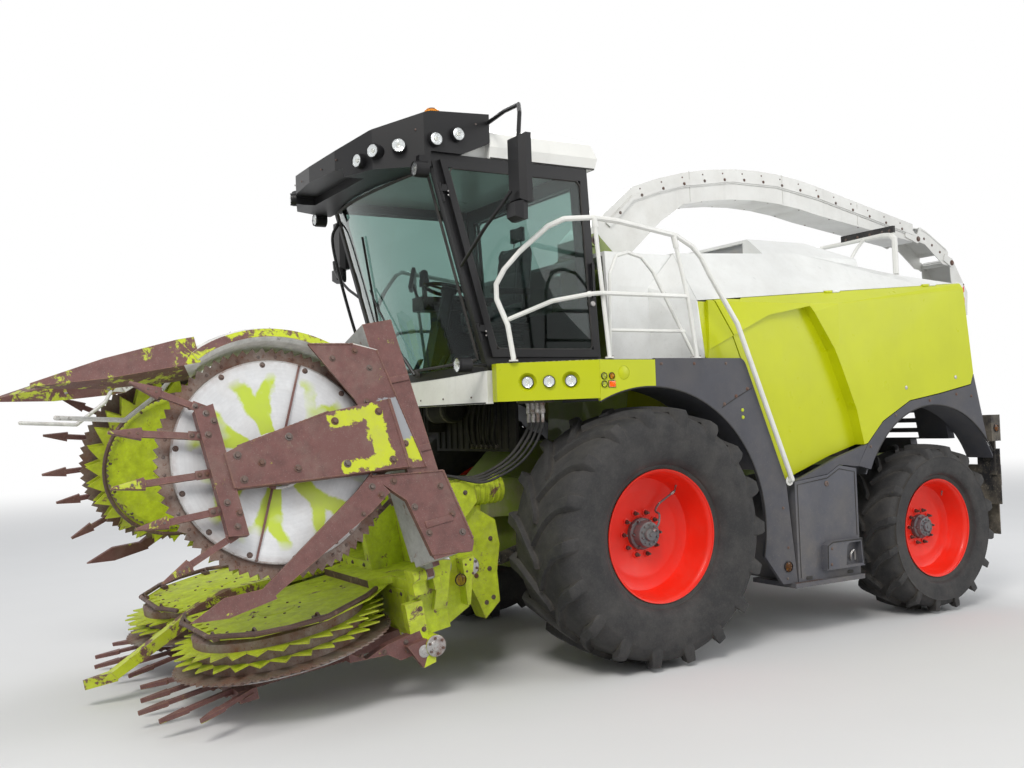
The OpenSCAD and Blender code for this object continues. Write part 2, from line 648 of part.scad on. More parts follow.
module door_window() polygon([[-127, cab_floor_z + 145], [-940, cab_floor_z + 145],
    [-1275, cab_roof_z - 100],
                              [-190, cab_roof_z - 100]]);
module door_frame() color(black) machine() {
  side_slab(cab_x + 3, cab_x + 31) difference() {
    door_side();
    door_window();
  }
  for (z = hinge_zs) {
    bar(hinge_point(z + 62), hinge_point(z + 120), 13);
    hinge_plate(z + 62, 0, 62, hinge_x, cab_x + 29);
  }
  // handle
  block([cab_x + 25, -130, 2610], [cab_x + 52, -112, 2640]);
  block([cab_x + 25, -130, 2820], [cab_x + 52, -112, 2850]);
  block([cab_x + 44, -132, 2600], [cab_x + 58, -110, 2860]);
}
module door_glass() color(glass) machine() side_slab(cab_x + 12, cab_x + 12 + glass_t) door_window();
module seat() color(grey) machine() {
  hull() {
    block([-250, -640, 2490], [250, -210, 2560]);
    block([-215, -660, 2510], [215, -190, 2610]);
  }
  hull() {
    block([-235, -290, 2600], [235, -230, 2700]);
    block([-200, -215, 3080], [200, -140, 3150]);
  }
  hull() {
    block([-110, -205, 3160], [110, -150, 3290]);
    block([-90, -200, 3140], [90, -155, 3161]);
  }
  block([-150, -550, cab_floor_z + 100], [150, -250, 2491]);
  block([-230, -600, cab_floor_z], [230, -220, cab_floor_z + 101]);
  both_sides() {
    block([255, -600, 2700], [325, -260, 2750]);
    block([270, -330, 2520], [310, -280, 2701]);
    block([240, -330, 2520], [280, -280, 2550]);
  }
}
module console() color(black) machine() {
  translate([0, -980, cab_floor_z]) rotate([-14, 0, 0]) {
    translate([0, 0, 16]) cylinder(h = 674, r = 45);
    translate([-70, -60, 20]) cube([140, 120, 360]);
    translate([0, 0, 690]) {
      bent_tube([for (a = [0 : 22.5 : 360]) 185 * [cos(a), sin(a), 0]], 15);
      for (a = [30, 150, 270]) rotate([0, 0, a]) translate([-20, -12, -8]) cube([200, 24, 14]);
    }
  }
  block([-85, -1050, cab_floor_z], [85, -915, cab_floor_z + 70]);
  block([-560, -700, cab_floor_z], [-380, -250, cab_floor_z + 600]);
  hull() {
    block([-560, -860, cab_floor_z + 560], [-350, -300, cab_floor_z + 620]);
    block([-540, -870, cab_floor_z + 650], [-370, -700, cab_floor_z + 670]);
  }
  block([-465, -815, cab_floor_z + 669], [-435, -785, cab_floor_z + 760]);
  block([-480, -830, cab_floor_z + 759], [-420, -770, cab_floor_z + 820]);
}
module cab_front_panel() color(white) machine() intersection() {
  translate([0, 1615, 1850]) difference() {
    cylinder(h = 229, r = 2775, $fn = 180);
    translate([0, 0, -1]) cylinder(h = 231, r = 2735, $fn = 180);
  }
  difference() {
    block([-cab_x, -1400, 1840], [cab_x, -900, 2100]);
    translate([0, cab_front_y, cab_floor_z]) rotate([screen_lean, 0, 0]) block([-1000, -300, -gap],
        [1000, 300, 300]);
  }
}
module mirrors() color(black) machine() both_sides() {
  bent_tube([[946, -955, 3800], [1180, -965, 3815], [1420, -1000, 3790], [1525, -1060, 3700],
      [1525, -1075, 3540]], 15);
  bent_tube([[912, -1185, 2800], [1080, -1200, 2880], [1270, -1200, 2990], [1430, -1180, 3090],
      [1525, -1150, 3180]], 13);
  hull() {
    block([1460, -1120, 3130], [1590, -1060, 3530]);
    block([1430, -1080, 3110], [1620, -1040, 3550]);
  }
  hull() {
    block([1470, -1150, 3020], [1580, -1110, 3110]);
    block([1450, -1100, 3000], [1600, -1070, 3120]);
  }
}
module beacon() color("orange") machine() translate([0, -910, 3846]) {
  cylinder(h = 190, r = 28);
  translate([0, 0, 190]) cylinder(h = 25, r = 72);
  translate([0, 0, 214]) cylinder(h = 105, r1 = 66, r2 = 52);
}

// Chute
chute_centre = [2290, chute_top_z - chute_r];
arc_end_y = 3090;
chute_slope = 0.2;
taper = 0.07;
ring_z = duct_top_z;
pivot = [430, 3180];
flap_pin = [4490, 3430];
tip_pin = [5010, 3210];
function arc_z(y) = chute_centre[1] + sqrt(chute_r * chute_r - pow(y - chute_centre[0], 2));
function back_z(y) = y < arc_end_y ? arc_z(y) : arc_z(arc_end_y) - chute_slope * (y - arc_end_y);
function belly_z(y) = back_z(y) - chute_depth + (y < arc_end_y ? 0 : taper * (y - arc_end_y));
back_ys = concat([for (y = [860 : 280 : 3000]) y], [arc_end_y, 3700, 4430]);
belly_ys = [4430, 3700, arc_end_y, 2820, 2540, 2260, 1980, 1700, 1420];
rail_ys = [860, 1140, 1420, 1980, 2540, arc_end_y, 4430];
module chute_side() polygon(concat(
  [[330, 3095], [330, 3200], [400, 3270], [600, 3450]],
  [for (y = back_ys) [y, back_z(y)]],
  [for (y = belly_ys) [y, belly_z(y)]],
  [[1160, 3390], [800, 3075]]));
module turntable() color(white) machine() {
  translate([0, turret_y, ring_z + gap]) difference() {
    cylinder(h = 40, r = 320);
    translate([0, 0, -1]) cylinder(h = 42, r = 215);
  }
  both_sides() {
    side_slab(chute_x + 6, chute_x + 26) polygon([[330, ring_z + 30], [385, 3230], [475, 3230],
        [700, ring_z + 30]]);
    translate([chute_x + 6, pivot[0], pivot[1]]) along_x() cylinder(h = 45, r = 55);
  }
}
module chute() color(white) machine() {
  difference() {
    side_slab(-chute_x, chute_x) chute_side();
    side_slab(-chute_x + chute_wall, chute_x - chute_wall) offset(delta = -chute_wall) chute_side();
    block([-chute_x + chute_wall, 345, 3000], [chute_x - chute_wall, 780, 3190]);
    block([-chute_x + chute_wall, 4400, belly_z(4430) + 8], [chute_x - chute_wall, 4500, back_z(4430) - 8]);
  }
  both_sides() {
    // rail along the side
    for (k = [0, 1]) side_slab(chute_x - 1, chute_x + 10 + 8 * k) polygon(concat(
      [[575, 3340 - 8 * k]], [for (y = rail_ys) [y, back_z(y) - 70 - 12 * k]],
      [for (i = [len(rail_ys) - 1 : -1 : 0]) [rail_ys[i], back_z(rail_ys[i]) - 130 + 12 * k]],
      [[615, 3296 + 8 * k]]));
    translate([chute_x - 1, pivot[0], pivot[1]]) along_x() cylinder(h = 5, r = 50);
    // ears of the flap's hinge and the curved shield over it
    side_slab(chute_x - 1, chute_x + 14) polygon([[4300, 3440], [4300, 3520], [4480, 3475],
        [4525, 3450], [4525, 3410],
                                                  [4480, 3385]]);
  }
  side_slab(-chute_x + 20, chute_x - 20) polygon(concat(
    [for (a = [60 : 12 : 120]) flap_pin + 120 * [cos(a), sin(a)]],
    [for (a = [120 : -12 : 60]) flap_pin + 110 * [cos(a), sin(a)]]));
  block([-chute_x + 1, 4405, 3520], [chute_x - 1, 4434, back_z(4434) - 1]);
}
module flap_knuckle(pin) translate([-chute_x + 5, pin[0],
    pin[1]]) along_x() cylinder(h = 2 * chute_x - 10, r = 24);
flap_back = [[4476, 3450], [4545, 3556], [4640, 3520], [4940, 3355], [4972, 3322]];
module chute_flap() color(white) machine() {
  difference() {
    side_slab(-chute_x + 2, chute_x - 2) polygon(concat(flap_back, [[4958, 3182], [4880, 3192],
        [4610, 3385], [4500, 3406], [4475, 3416]]));
    side_slab(-chute_x + 2 + chute_wall, chute_x - 2 - chute_wall)
      polygon([[4400, 3300], [4400, 3560], [4545, 3548], [4638, 3511], [4936, 3346], [5000, 3280],
          [5000, 3000], [4400, 3000]]);
  }
  flap_knuckle(flap_pin);
  both_sides() side_slab(chute_x - 3, chute_x + 10) polygon([[4880, 3230], [4910, 3300], [5030, 3245],
      [5042, 3190], [5000, 3168]]);
}
module chute_tip() color(white) machine() {
  difference() {
    side_slab(-chute_x + 4, chute_x - 4) polygon([[5012, 3240], [5036, 3262], [5130, 3115],
        [5262, 2910], [5242, 2670], [5050, 2680],
                                                  [5025, 2910], [5000, 3060], [4996, 3195]]);
    side_slab(-chute_x + 4 + chute_wall, chute_x - 4 - chute_wall)
      polygon([[5012, 3240], [5034, 3248], [5122, 3110], [5253, 2908], [5232, 2600], [4900, 2600],
          [4900, 3256]]);
  }
  flap_knuckle(tip_pin);
}
rest_y = 3250;
rest_top_z = 3310;
module chute_rest() color(white) machine() {
  both_sides() {
    bent_tube([[900, rest_y, 2935], [900, rest_y, rest_top_z - 70], [860, rest_y, rest_top_z - 30],
               [780, rest_y, rest_top_z - 20]], 28);
    bent_tube([[640, 2900, 3000], [600, 3100, 3190], [560, rest_y, rest_top_z - 20]], 16);
  }
  bent_tube([[-790, rest_y, rest_top_z - 20], [790, rest_y, rest_top_z - 20]], 20);
  both_sides() block([300, rest_y - 15, rest_top_z - 12], [900, rest_y + 15, rest_top_z + 50]);
}

// Header
module header_place() machine() translate([0, rotor_row_y, rotor_row_z]) rotate([header_pitch, 0,
    0]) children();
module wing_place() header_place() translate([fold_x, 0, fold_z]) rotate([0, -fold_angle, 0])
  translate([-fold_x, 0, -fold_z]) children();
centre_rotor_x = rotor_pitch / 2;
wing_rotor_x = rotor_pitch * 1.5;
module toothed_disc(r, t, n, root) linear_extrude(t) polygon([for (i = [0 : n - 1]) for (k = [0, 1])
  let (a = (i + k * 0.7) * 360 / n, d = k == 0 ? r * root : r) [d * cos(a), d * sin(a)]]);
module rotor() {
  rotate_extrude() polygon([[0, -80], [120, -84], [rotor_r - 70, -108], [rotor_r - 65, -100],
      [rotor_r - 140, -80],
                            [rotor_r * 0.80, -72], [rotor_r * 0.80, 120], [rotor_r * 0.74, 139], [0, 139]]);
  translate([0, 0, 60]) toothed_disc(rotor_r, 10, rotor_teeth, 0.84);
  translate([0, 0, -10]) toothed_disc(rotor_r - 6, 10, rotor_teeth, 0.84);
  translate([0, 0, -78]) toothed_disc(knife_r, 10, knife_teeth, 0.955);
}
module centre_rotor() color(green) header_place() translate([centre_rotor_x, 0, 0]) rotor();
module wing_rotor() color(green) wing_place() translate([wing_rotor_x, 0, 0]) rotor();
module centre_rotor_left() centre_rotor();
module centre_rotor_right() mirror([1, 0, 0]) centre_rotor();
module wing_rotor_left() wing_rotor();
module wing_rotor_right() mirror([1, 0, 0]) wing_rotor();

// Crop lifters under a rotor: foot and tip of each, from the rotor's axis
lifters = [[[340, -335], [588, -703]], [[203, -385], [337, -873]], [[-7, -400], [38, -928]],
           [[-218, -381], [-203, -864]], [[-350, -330], [-513, -802]]];
module lifter(a, b) {
  d = (b - a) / norm(b - a);
  n = [-d[1], d[0]];
  s = b - 170 * d;
  plan_slab(-190, -166) polygon([a - 18 * n, s - 18 * n, s - 35 * n, b - 6 * n, b + 6 * n, s + 35 * n,
                                 s + 18 * n, a + 18 * n]);
}
module arm_and_lifters() {
  plan_slab(-245, -165) polygon([[-124, -320], [78, -320], [100, -244], [183, 320], [183, 720],
      [-246, 720], [-200, 320]]);
  plan_slab(-235, -165) polygon([[-390, -310], [-370, -418], [350, -418], [367, -310]]);
  translate([0, 0, -166]) cylinder(h = 166 - 84 - gap, r = 118);
  for (l = lifters) lifter(l[0], l[1]);
}
centre_plate = [[100, -420], [340, -490], [940, -480], [1200, -290], [1320, 100], [1150, 450],
    [900, 701], [100, 701]];
module header_frame() color(green) header_place() {
  block([-1150, 706, -180], [1150, 949, 200]);
  difference() {
    block([-620, 706, 199], [620, 949, 700]);
    block([-540, 700, 260], [540, 960, 620]);
  }
  both_sides() {
    difference() {
      plan_slab(146, 154) polygon(centre_plate);
      for (p = [[200, -390], [330, -420], [460, -430], [590, -430], [720, -430], [850, -425],
          [980, -370], [1090, -280]])
        translate([p[0], p[1], 140]) cylinder(h = 20, r = 24, $fn = 16);
    }
    plan_slab(152, 202) polygon([[100, 560], [880, 560], [940, 720], [100, 720]]);
    bent_tube([[1003, 560, 168], [1120, 440, 168], [1340, 104, 175], [1315, -120, 175], [1223, -293, 175],
               [942, -496, 175], [342, -507, 175], [110, -431, 168]], guard_r);
    for (p = [[1260, 60], [1150, -290], [942, -478], [342, -488]]) block([p[0] - 60, p[1] - 10, 150],
        [p[0] + 60, p[1] + 30, 172]);
    translate([centre_rotor_x, 0, 0]) arm_and_lifters();
    // hinge of the wing
    block([1149, 706, 100], [1240, 796, 257]);
    block([1149, 850, 100], [1240, 900, 257]);
    translate([fold_x, 706, fold_z]) rotate([-90, 0, 0]) cylinder(h = 90, r = 40);
    translate([fold_x, 850, fold_z]) rotate([-90, 0, 0]) cylinder(h = 50, r = 40);
    // side frame, ribs and hubs
    side_slab(1149, 1215) polygon([[224, -170], [224, -110], [330, -180], [474, -139], [560, -130],
        [706, -120], [753, 60], [721, -253],
                                   [545, -260], [468, -200]]);
    block([1149, 640, -180], [1215, 760, 60]);
    side_slab(1100, 1190) polygon([[940, 265], [1022, 242], [931, -46], [840, -32]]);
    side_slab(1100, 1190) polygon([[1099, 220], [1189, 222], [1100, -74], [1080, -74]]);
    side_slab(700, 1101) polygon([[948, -180], [1129, -108], [1241, 187], [1220, 240], [948, 240]]);
    translate([1080, 948, 216]) along_x() cylinder(h = 60, r = 92);
    translate([1080, 1156, 161]) along_x() cylinder(h = 90, r = 62);
    translate([1149, 770, -230]) along_x() cylinder(h = 120, r = 68);
    side_slab(1215, 1262) polygon([[583, -178], [720, -170], [770, -250], [753, -330], [667, -340]]);
    // gear drive beside the feed housing
    side_slab(620, 860) polygon([[948, 100], [948, 700], [1130, 700], [1458, 640], [1458, 500],
        [1330, 400], [1240, 187]]);
    side_slab(680, 830) polygon([[1215, 240], [1338, -168], [1372, -307], [1505, -219], [1526, -10],
        [1585, 163],
                                 [1585, 338], [1400, 500]]);
    bar([745, 1380, 572], [745, 1700, 534], 97);
  }
}
module header_dividers() color(rust) header_place() {
  side_slab(-45, 45) polygon([[-932, -70], [-316, 194], [-100, 236], [704, 206], [704, 160],
      [-300, 156], [-423, 62],
                              [-900, -120]]);
  plan_slab(-132, -70) polygon([[-12, -1098], [12, -1098], [44, -900], [-44, -900]]);
}
module wing_frame() color(rust) wing_place() {
  translate([wing_rotor_x, 0, 0]) arm_and_lifters();
  difference() {
    block([1330, 706, -202], [2780, 900, 150]);
    block([1400, 760, -150], [2700, 901, 100]);
  }
  // inner plate and slanted bar
  plan_slab(-205, -165) polygon([[1860, 473], [1786, 929], [1329, 985], [1275, 955], [1320, 700],
      [1669, 645]]);
  plan_slab(-205, -166) polygon([[1803, 373], [1880, 480], [1744, 560], [1660, 420], [1358, -257],
      [1409, -316]]);
  plan_slab(-205, -180) polygon([[1340, -250], [1409, -262], [1425, -519], [1347, -722], [1315, -519]]);
  // outer skid plate
  plan_slab(-216, -201) polygon([[2713, 328], [2664, 602], [2600, 740], [1835, 824], [1863, 631],
      [2329, 511]]);
  // hinge arm
  block([1262, 800, 60], [1331, 846, 257]);
  block([1240, 800, 177], [1263, 846, 257]);
  translate([fold_x, 800, fold_z]) rotate([-90, 0, 0]) cylinder(h = 46, r = 40);
  block([1290, 706, -200], [1331, 900, 100]);
}
module wing_shield() color(white) wing_place() {
  intersection() {
    translate([wing_rotor_x, 0, 0]) rotate_extrude($fn = 96) polygon([
      [rotor_r + 35, -160], [rotor_r + 50, -200], [rotor_r + 100, -195], [rotor_r + 130, -120],
          [rotor_r + 130, 80],
      [rotor_r + 95, 150], [rotor_r + 45, 160], [rotor_r + 35, 120]]);
    plan_slab(-300, 300) polygon([[wing_rotor_x, 0], [wing_rotor_x + 900, -440],
        [wing_rotor_x + 900, 702], [wing_rotor_x + 702, 702]]);
  }
  hull() {
    block([2726, -395, -190], [2880, -300, 120]);
    block([2742, -790, -140], [2858, -780, 60]);
  }
  hull() {
    block([2742, -791, -140], [2858, -780, 60]);
    block([2790, -1170, -75], [2810, -1160, -40]);
  }
  bent_tube([[2760, -395, 100], [2700, -470, 190], [2586, -694, 230], [2668, -1052, 200]], 14);
}
module wing_frame_left() wing_frame();
module wing_frame_right() mirror([1, 0, 0]) wing_frame();
module wing_shield_left() wing_shield();
module wing_shield_right() mirror([1, 0, 0]) wing_shield();
feed_x = 270;
module feed_side() polygon([[-1497, 506], [-1617, 1195], [-641, 1240], [-641, 700]]);
module feed_housing() color(green) machine() {
  difference() {
    side_slab(-feed_x, feed_x) feed_side();
    side_slab(-feed_x + 12, feed_x - 12) polygon([[-1700, 540], [-1700, 1150], [-600, 1190],
        [-600, 740], [-1440, 540]]);
  }
  both_sides() {
    side_slab(feed_x - 1, 420) polygon([[-1497, 506], [-1617, 1195], [-1140, 1170], [-1110, 640],
        [-1250, 570]]);
    for (y = [-980, -800]) side_slab(feed_x - 1, feed_x + 14) polygon([[y, 660], [y - 20, 1200],
        [y + 30, 1200], [y + 50, 680]]);
    side_slab(feed_x - 20, feed_x + 26) polygon([[-1105, 640], [-1090, 550], [-1010, 550], [-985, 680]]);
    translate([feed_x, lift_eye[1], lift_eye[2]]) along_x() cylinder(h = 108, r = 16);
  }
}

// Lift cylinders of the header
lift_x = 330;
lift_base = [lift_x, -220, 820];
lift_eye = [lift_x, -1050, 581];
lift_dir = (lift_eye - lift_base) / norm(lift_eye - lift_base);
barrel_len = 437;
module ring(r, bore, w) rotate([0, 90, 0]) translate([0, 0, -w / 2]) difference() {
  cylinder(h = w, r = r);
  translate([0, 0, -1]) cylinder(h = w + 2, r = bore);
}
module lift_barrels() color(black) machine() both_sides() {
  difference() {
    bar(lift_base + 30 * lift_dir, lift_base + barrel_len * lift_dir, 45);
    bar(lift_base + 230 * lift_dir, lift_base + (barrel_len + 5) * lift_dir, 25.6);
    translate(lift_base) along_x() translate([0, 0, -50]) cylinder(h = 100, r = 24);
  }
  translate(lift_base) ring(48, 22.3, 56);
}
module lift_rods() color(steel) machine() both_sides() {
  difference() {
    bar(lift_base + 257 * lift_dir, lift_eye - 30 * lift_dir, 25);
    translate(lift_eye) along_x() translate([0, 0, -50]) cylinder(h = 100, r = 28);
  }
  translate(lift_eye) ring(40, 27, 44);
}

chassis_frame();
front_axle();
rear_axle();
knuckle_left();
knuckle_right();
front_rim_left();
front_tyre_left();
front_rim_right();
front_tyre_right();
rear_rim_left();
rear_tyre_left();
rear_rim_right();
rear_tyre_right();
engine_block();
chopper_housing();
hood_top();
hood_rear();
cover_fronts();
side_cover_left();
side_cover_right();
front_fenders();
platforms();
side_boxes();
rear_arches();
rear_bumper();
handrails();
cab_frame();
cab_roof();
lamp_visor();
cab_glass();
door_frame();
door_glass();
seat();
console();
cab_front_panel();
lamp_fascias();
mirrors();
beacon();
turntable();
chute();
chute_flap();
chute_tip();
chute_rest();
feed_housing();
header_frame();
header_dividers();
centre_rotor_left();
centre_rotor_right();
wing_frame_left();
wing_frame_right();
wing_shield_left();
wing_shield_right();
wing_rotor_left();
wing_rotor_right();
lift_barrels();
lift_rods();
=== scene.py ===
"""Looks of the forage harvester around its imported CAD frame."""
import random
from math import atan2, cos, exp, hypot, pi, radians, sin, sqrt

import bmesh
import bpy
from mathutils import Matrix, Vector


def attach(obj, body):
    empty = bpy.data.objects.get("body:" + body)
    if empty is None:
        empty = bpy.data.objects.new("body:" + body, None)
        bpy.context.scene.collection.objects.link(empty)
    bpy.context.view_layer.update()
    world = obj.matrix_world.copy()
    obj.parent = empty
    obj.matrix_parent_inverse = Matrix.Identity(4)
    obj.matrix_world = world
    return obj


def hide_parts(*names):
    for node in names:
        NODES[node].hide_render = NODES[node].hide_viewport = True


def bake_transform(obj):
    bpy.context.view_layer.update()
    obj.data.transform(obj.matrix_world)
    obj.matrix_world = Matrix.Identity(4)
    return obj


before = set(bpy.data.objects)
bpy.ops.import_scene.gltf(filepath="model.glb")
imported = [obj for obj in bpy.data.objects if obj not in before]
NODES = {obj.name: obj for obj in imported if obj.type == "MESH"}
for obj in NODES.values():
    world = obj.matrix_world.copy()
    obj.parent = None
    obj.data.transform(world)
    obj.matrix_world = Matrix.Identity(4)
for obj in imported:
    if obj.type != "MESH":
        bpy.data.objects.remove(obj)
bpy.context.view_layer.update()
FY = -0.67                       # front axle's place along Y
RND = random.Random(7)


def on(m, s):
    """A place on the left side, or its mirror image on the right."""
    return m if s > 0 else MIRROR @ m


def at(x, y, z):
    return Matrix.Translation((x, y, z))


def pt(x, y, z):
    """A point of the axle frame moved to the row frame."""
    return TO_ROW @ Vector((x, y, z))


def row(*points):
    return [pt(*p) for p in points]


def facing(point, normal):
    """A place at the point whose Z axis is the normal."""
    m = Vector(normal).to_track_quat("Z", "Y").to_matrix().to_4x4()
    m.translation = Vector(point)
    return m


def outward(s, x, y, z):
    """A place on a side wall whose Z axis points away from the machine."""
    return facing(pt(s * x, y, z), (s, 0, 0))


def facing_side(s, x, y, z):
    """A place on a side wall: X runs back along the machine, Y up and Z outwards."""
    return TO_ROW @ Matrix(((0, 0, s, s * x), (1, 0, 0, y), (0, 1, 0, z), (0, 0, 0, 1)))


def turned(degrees, axis="Z"):
    return Matrix.Rotation(radians(degrees), 4, axis)


def around(i, n):
    """The turn about Z to the i-th of n places on a circle."""
    return Matrix.Rotation(2 * pi * i / n, 4, "Z")


def flat(place, x, y, z, down=True):
    """A place at a point of the frame whose Z axis points down or up in it."""
    return place @ at(x, y, z) @ (HALF_X if down else Matrix())


def new_object(name, data):
    o = bpy.data.objects.new(name, data)
    bpy.context.collection.objects.link(o)
    return o


# Places
TO_ROW = Matrix.Translation((0, FY, 0))
HEADER = at(0, FY - 2.45, 0.44) @ turned(10, "X")
FOLD = Vector((1.24, 0, 0.217))
WING = HEADER @ Matrix.Translation(FOLD) @ turned(-105, "Y") @ Matrix.Translation(-FOLD)
MIRROR = Matrix.Scale(-1, 4, (1, 0, 0))
ROTOR_X = (0.7, 2.1)
SIDES = ((1, "left"), (-1, "right"))
HALF_X = Matrix.Rotation(pi, 4, "X")
QUARTER_X, QUARTER_Y = (Matrix.Rotation(pi / 2, 4, a) for a in "XY")
BACK_X = Matrix.Rotation(-pi / 2, 4, "X")
SIDE_X = 1.42                    # outer face of the fenders, arches and side boxes
CAB_FLOOR_Z = 2.08
SCREEN_LEAN = atan2(0.4, 1.48)     # the windscreen's slope
# Wheels: hub's place, tyre's width, rim's radius, lugs, disc's place, hub's radius, its paint's radius
WHEELS = {"front": (1.215, 0.0, 0.9, 0.72, 0.457, 18, 0.02, 0.112, 0.16),
          "rear": (1.2, 3.0, 0.705, 0.52, 0.406, 16, 0.01, 0.1, 0.145)}
WHEEL_BOLTS = 10
FLOOR_NEAR, FLOOR_FAR = 8.5, 30.0    # where the floor starts to fade, and where it is white
PUFF, CLOTH_FRAMES = 4.0, 20         # pressure in the cushions, and how long it blows them up


# Materials
class Shader:
    """A material built from nodes that read the object's own coordinates."""

    def __init__(self, name, rough=0.5, metal=0.0, coat=0.0, sheen=0.0, spec=None):
        self.mat = bpy.data.materials.new(name)
        self.mat.use_nodes = True
        self.nt = self.mat.node_tree
        self.b = self.nt.nodes["Principled BSDF"]
        for key, v in (("Roughness", rough), ("Metallic", metal), ("Coat Weight", coat),
                ("Sheen Weight", sheen)):
            self.b.inputs[key].default_value = v
        if spec is not None:
            self.b.inputs["Specular IOR Level"].default_value = spec
        self.tc = self.nt.nodes.new("ShaderNodeTexCoord")
        self.vec = self.tc.outputs["Object"]

    def new(self, kind, **inputs):
        n = self.nt.nodes.new("ShaderNode" + kind)
        for k, v in inputs.items():
            self.put(n.inputs[k.replace("_", " ")], v)
        return n

    def put(self, socket, v):
        if isinstance(v, bpy.types.NodeSocket):
            self.nt.links.new(v, socket)
        else:
            socket.default_value = v

    def noise(self, scale, detail=6.0, rough=0.6, vec=None, distort=0.0):
        return self.new("TexNoise", Scale=scale, Detail=detail, Roughness=rough, Distortion=distort,
                        Vector=vec or self.vec).outputs["Fac"]

    def ramp(self, value, lo, hi, to_lo=0.0, to_hi=1.0):
        return self.new("MapRange", Value=value, From_Min=lo, From_Max=hi, To_Min=to_lo,
            To_Max=to_hi).outputs["Result"]

    def math(self, op, a, b=0.0, c=None, clamp=False):
        n = self.nt.nodes.new("ShaderNodeMath")
        n.operation = op
        n.use_clamp = clamp
        self.put(n.inputs[0], a)
        self.put(n.inputs[1], b)
        if c is not None:
            self.put(n.inputs[2], c)
        return n.outputs[0]

    def mix(self, fac, a, b):
        n = self.nt.nodes.new("ShaderNodeMix")
        n.data_type = "RGBA"
        self.put(n.inputs["Factor"], fac)
        for sock, v in ((n.inputs["A"], a), (n.inputs["B"], b)):
            self.put(sock, (*v, 1.0) if isinstance(v, tuple) and len(v) == 3 else v)
        return n.outputs["Result"]

    def axis(self, index, vec=None):
        n = self.nt.nodes.new("ShaderNodeSeparateXYZ")
        self.nt.links.new(vec or self.vec, n.inputs[0])
        return n.outputs[index]

    def local(self, matrix):
        """Object coordinates turned into the frame of the matrix."""
        loc, rot, scale = matrix.decompose()
        n = self.new("Mapping", Location=loc, Rotation=rot.to_euler("XYZ"), Scale=scale, Vector=self.vec)
        n.vector_type = "TEXTURE"
        return n.outputs[0]

    def stretched(self, *scale):
        """Object coordinates scaled by the three factors."""
        return self.new("Mapping", Scale=scale, Vector=self.vec).outputs[0]

    def mul(self, a, b, clamp=False):
        return self.math("MULTIPLY", a, b, clamp=clamp)

    def mad(self, a, b, c, clamp=False):
        return self.math("MULTIPLY_ADD", a, b, c, clamp)

    def edge(self, radius=0.006):
        """About 1 along convex and concave edges."""
        bev = self.new("Bevel", Radius=radius)
        bev.samples = 4
        geo = self.new("NewGeometry")
        dot = self.new("VectorMath")
        dot.operation = "DOT_PRODUCT"
        self.nt.links.new(bev.outputs[0], dot.inputs[0])
        self.nt.links.new(geo.outputs["Normal"], dot.inputs[1])
        return self.ramp(self.math("SUBTRACT", 1.0, dot.outputs["Value"]), 0.02, 0.22)

    def crevice(self, distance=0.06):
        ao = self.new("AmbientOcclusion", Distance=distance)
        ao.samples = 4
        return self.ramp(ao.outputs["AO"], 0.85, 0.35)

    def bump(self, height, strength, distance):
        n = self.new("Bump", Height=height, Strength=strength, Distance=distance)
        self.nt.links.new(n.outputs["Normal"], self.b.inputs["Normal"])

    def colour(self, c):
        self.put(self.b.inputs["Base Color"], (*c, 1.0) if isinstance(c, tuple) else c)

    def roughness(self, v):
        self.put(self.b.inputs["Roughness"], v)


def tone(colour, factor):
    return tuple(c * factor for c in colour)


DUST = (0.3, 0.26, 0.2)
RUST = (0.16, 0.055, 0.025)


def paint(name, base, rough=0.32, dirt=0.35, low=0.3, high=2.4, coat=0.25, edge=0.0, vary=0.06, spec=0.5):
    """Sprayed metal: slight colour drift, dust that grows downwards, splashes, and worn edges."""
    s = Shader(name, rough, coat=coat, spec=spec)
    drift = s.noise(1.7, 3)
    dark = tone(base, 1 - vary * 1.6)
    lite = tuple(min(1.0, c * (1 + vary)) for c in base)
    col = s.mix(s.ramp(drift, 0.35, 0.65), dark, lite)
    height = s.ramp(s.axis(2), high, low, 0.15, 1.0)
    film = s.ramp(s.noise(4.5, 9, 0.66), 0.42, 0.72)
    splash = s.ramp(s.noise(55.0, 4, 0.5), 0.6, 0.7)
    mask = s.mul(s.mad(splash, 0.5, film, True), s.mul(height, dirt), clamp=True)
    col = s.mix(mask, col, DUST)
    streak = s.ramp(s.noise(1.0, 5, 0.6, s.stretched(14, 14, 0.7)), 0.55, 0.75)
    col = s.mix(s.mul(streak, dirt * 0.45), col, tuple(c * 0.45 + 0.03 for c in base))
    if edge:
        worn = s.mul(s.edge(), s.ramp(s.noise(13, 8, 0.7), 0.5 - edge * 0.35, 0.62))
        col = s.mix(worn, col, RUST)
    s.colour(col)
    s.roughness(s.mad(mask, 0.45, s.ramp(s.noise(7, 5), 0.3, 0.7, rough * 0.8, rough * 1.25)))
    s.bump(s.mad(mask, 0.8, s.noise(420, 2)), 0.12, 0.0006)
    return s.mat


def moulded(name, base, rough=0.55, dirt=0.5, strength=0.35, high=2.4):
    """Grained plastic with dust that has settled in the grain."""
    s = Shader(name, rough, spec=0.32)
    cells = s.new("TexVoronoi", Scale=260, Vector=s.vec)
    height = s.ramp(s.axis(2), high, 0.3, 0.2, 1.0)
    film = s.ramp(s.noise(3.6, 9, 0.65), 0.4, 0.7)
    splash = s.ramp(s.noise(70, 3), 0.6, 0.68)
    mask = s.mul(s.mad(splash, 0.6, film, True), s.mul(height, dirt), clamp=True)
    lite = tone(base, 1.25)
    col = s.mix(s.ramp(s.noise(2.0, 4), 0.35, 0.65), base, lite)
    s.colour(s.mix(mask, col, DUST))
    s.roughness(s.mad(mask, 0.3, rough))
    s.bump(s.mad(s.noise(30, 4), 0.4, cells.outputs["Distance"]), strength, 0.0008)
    return s.mat


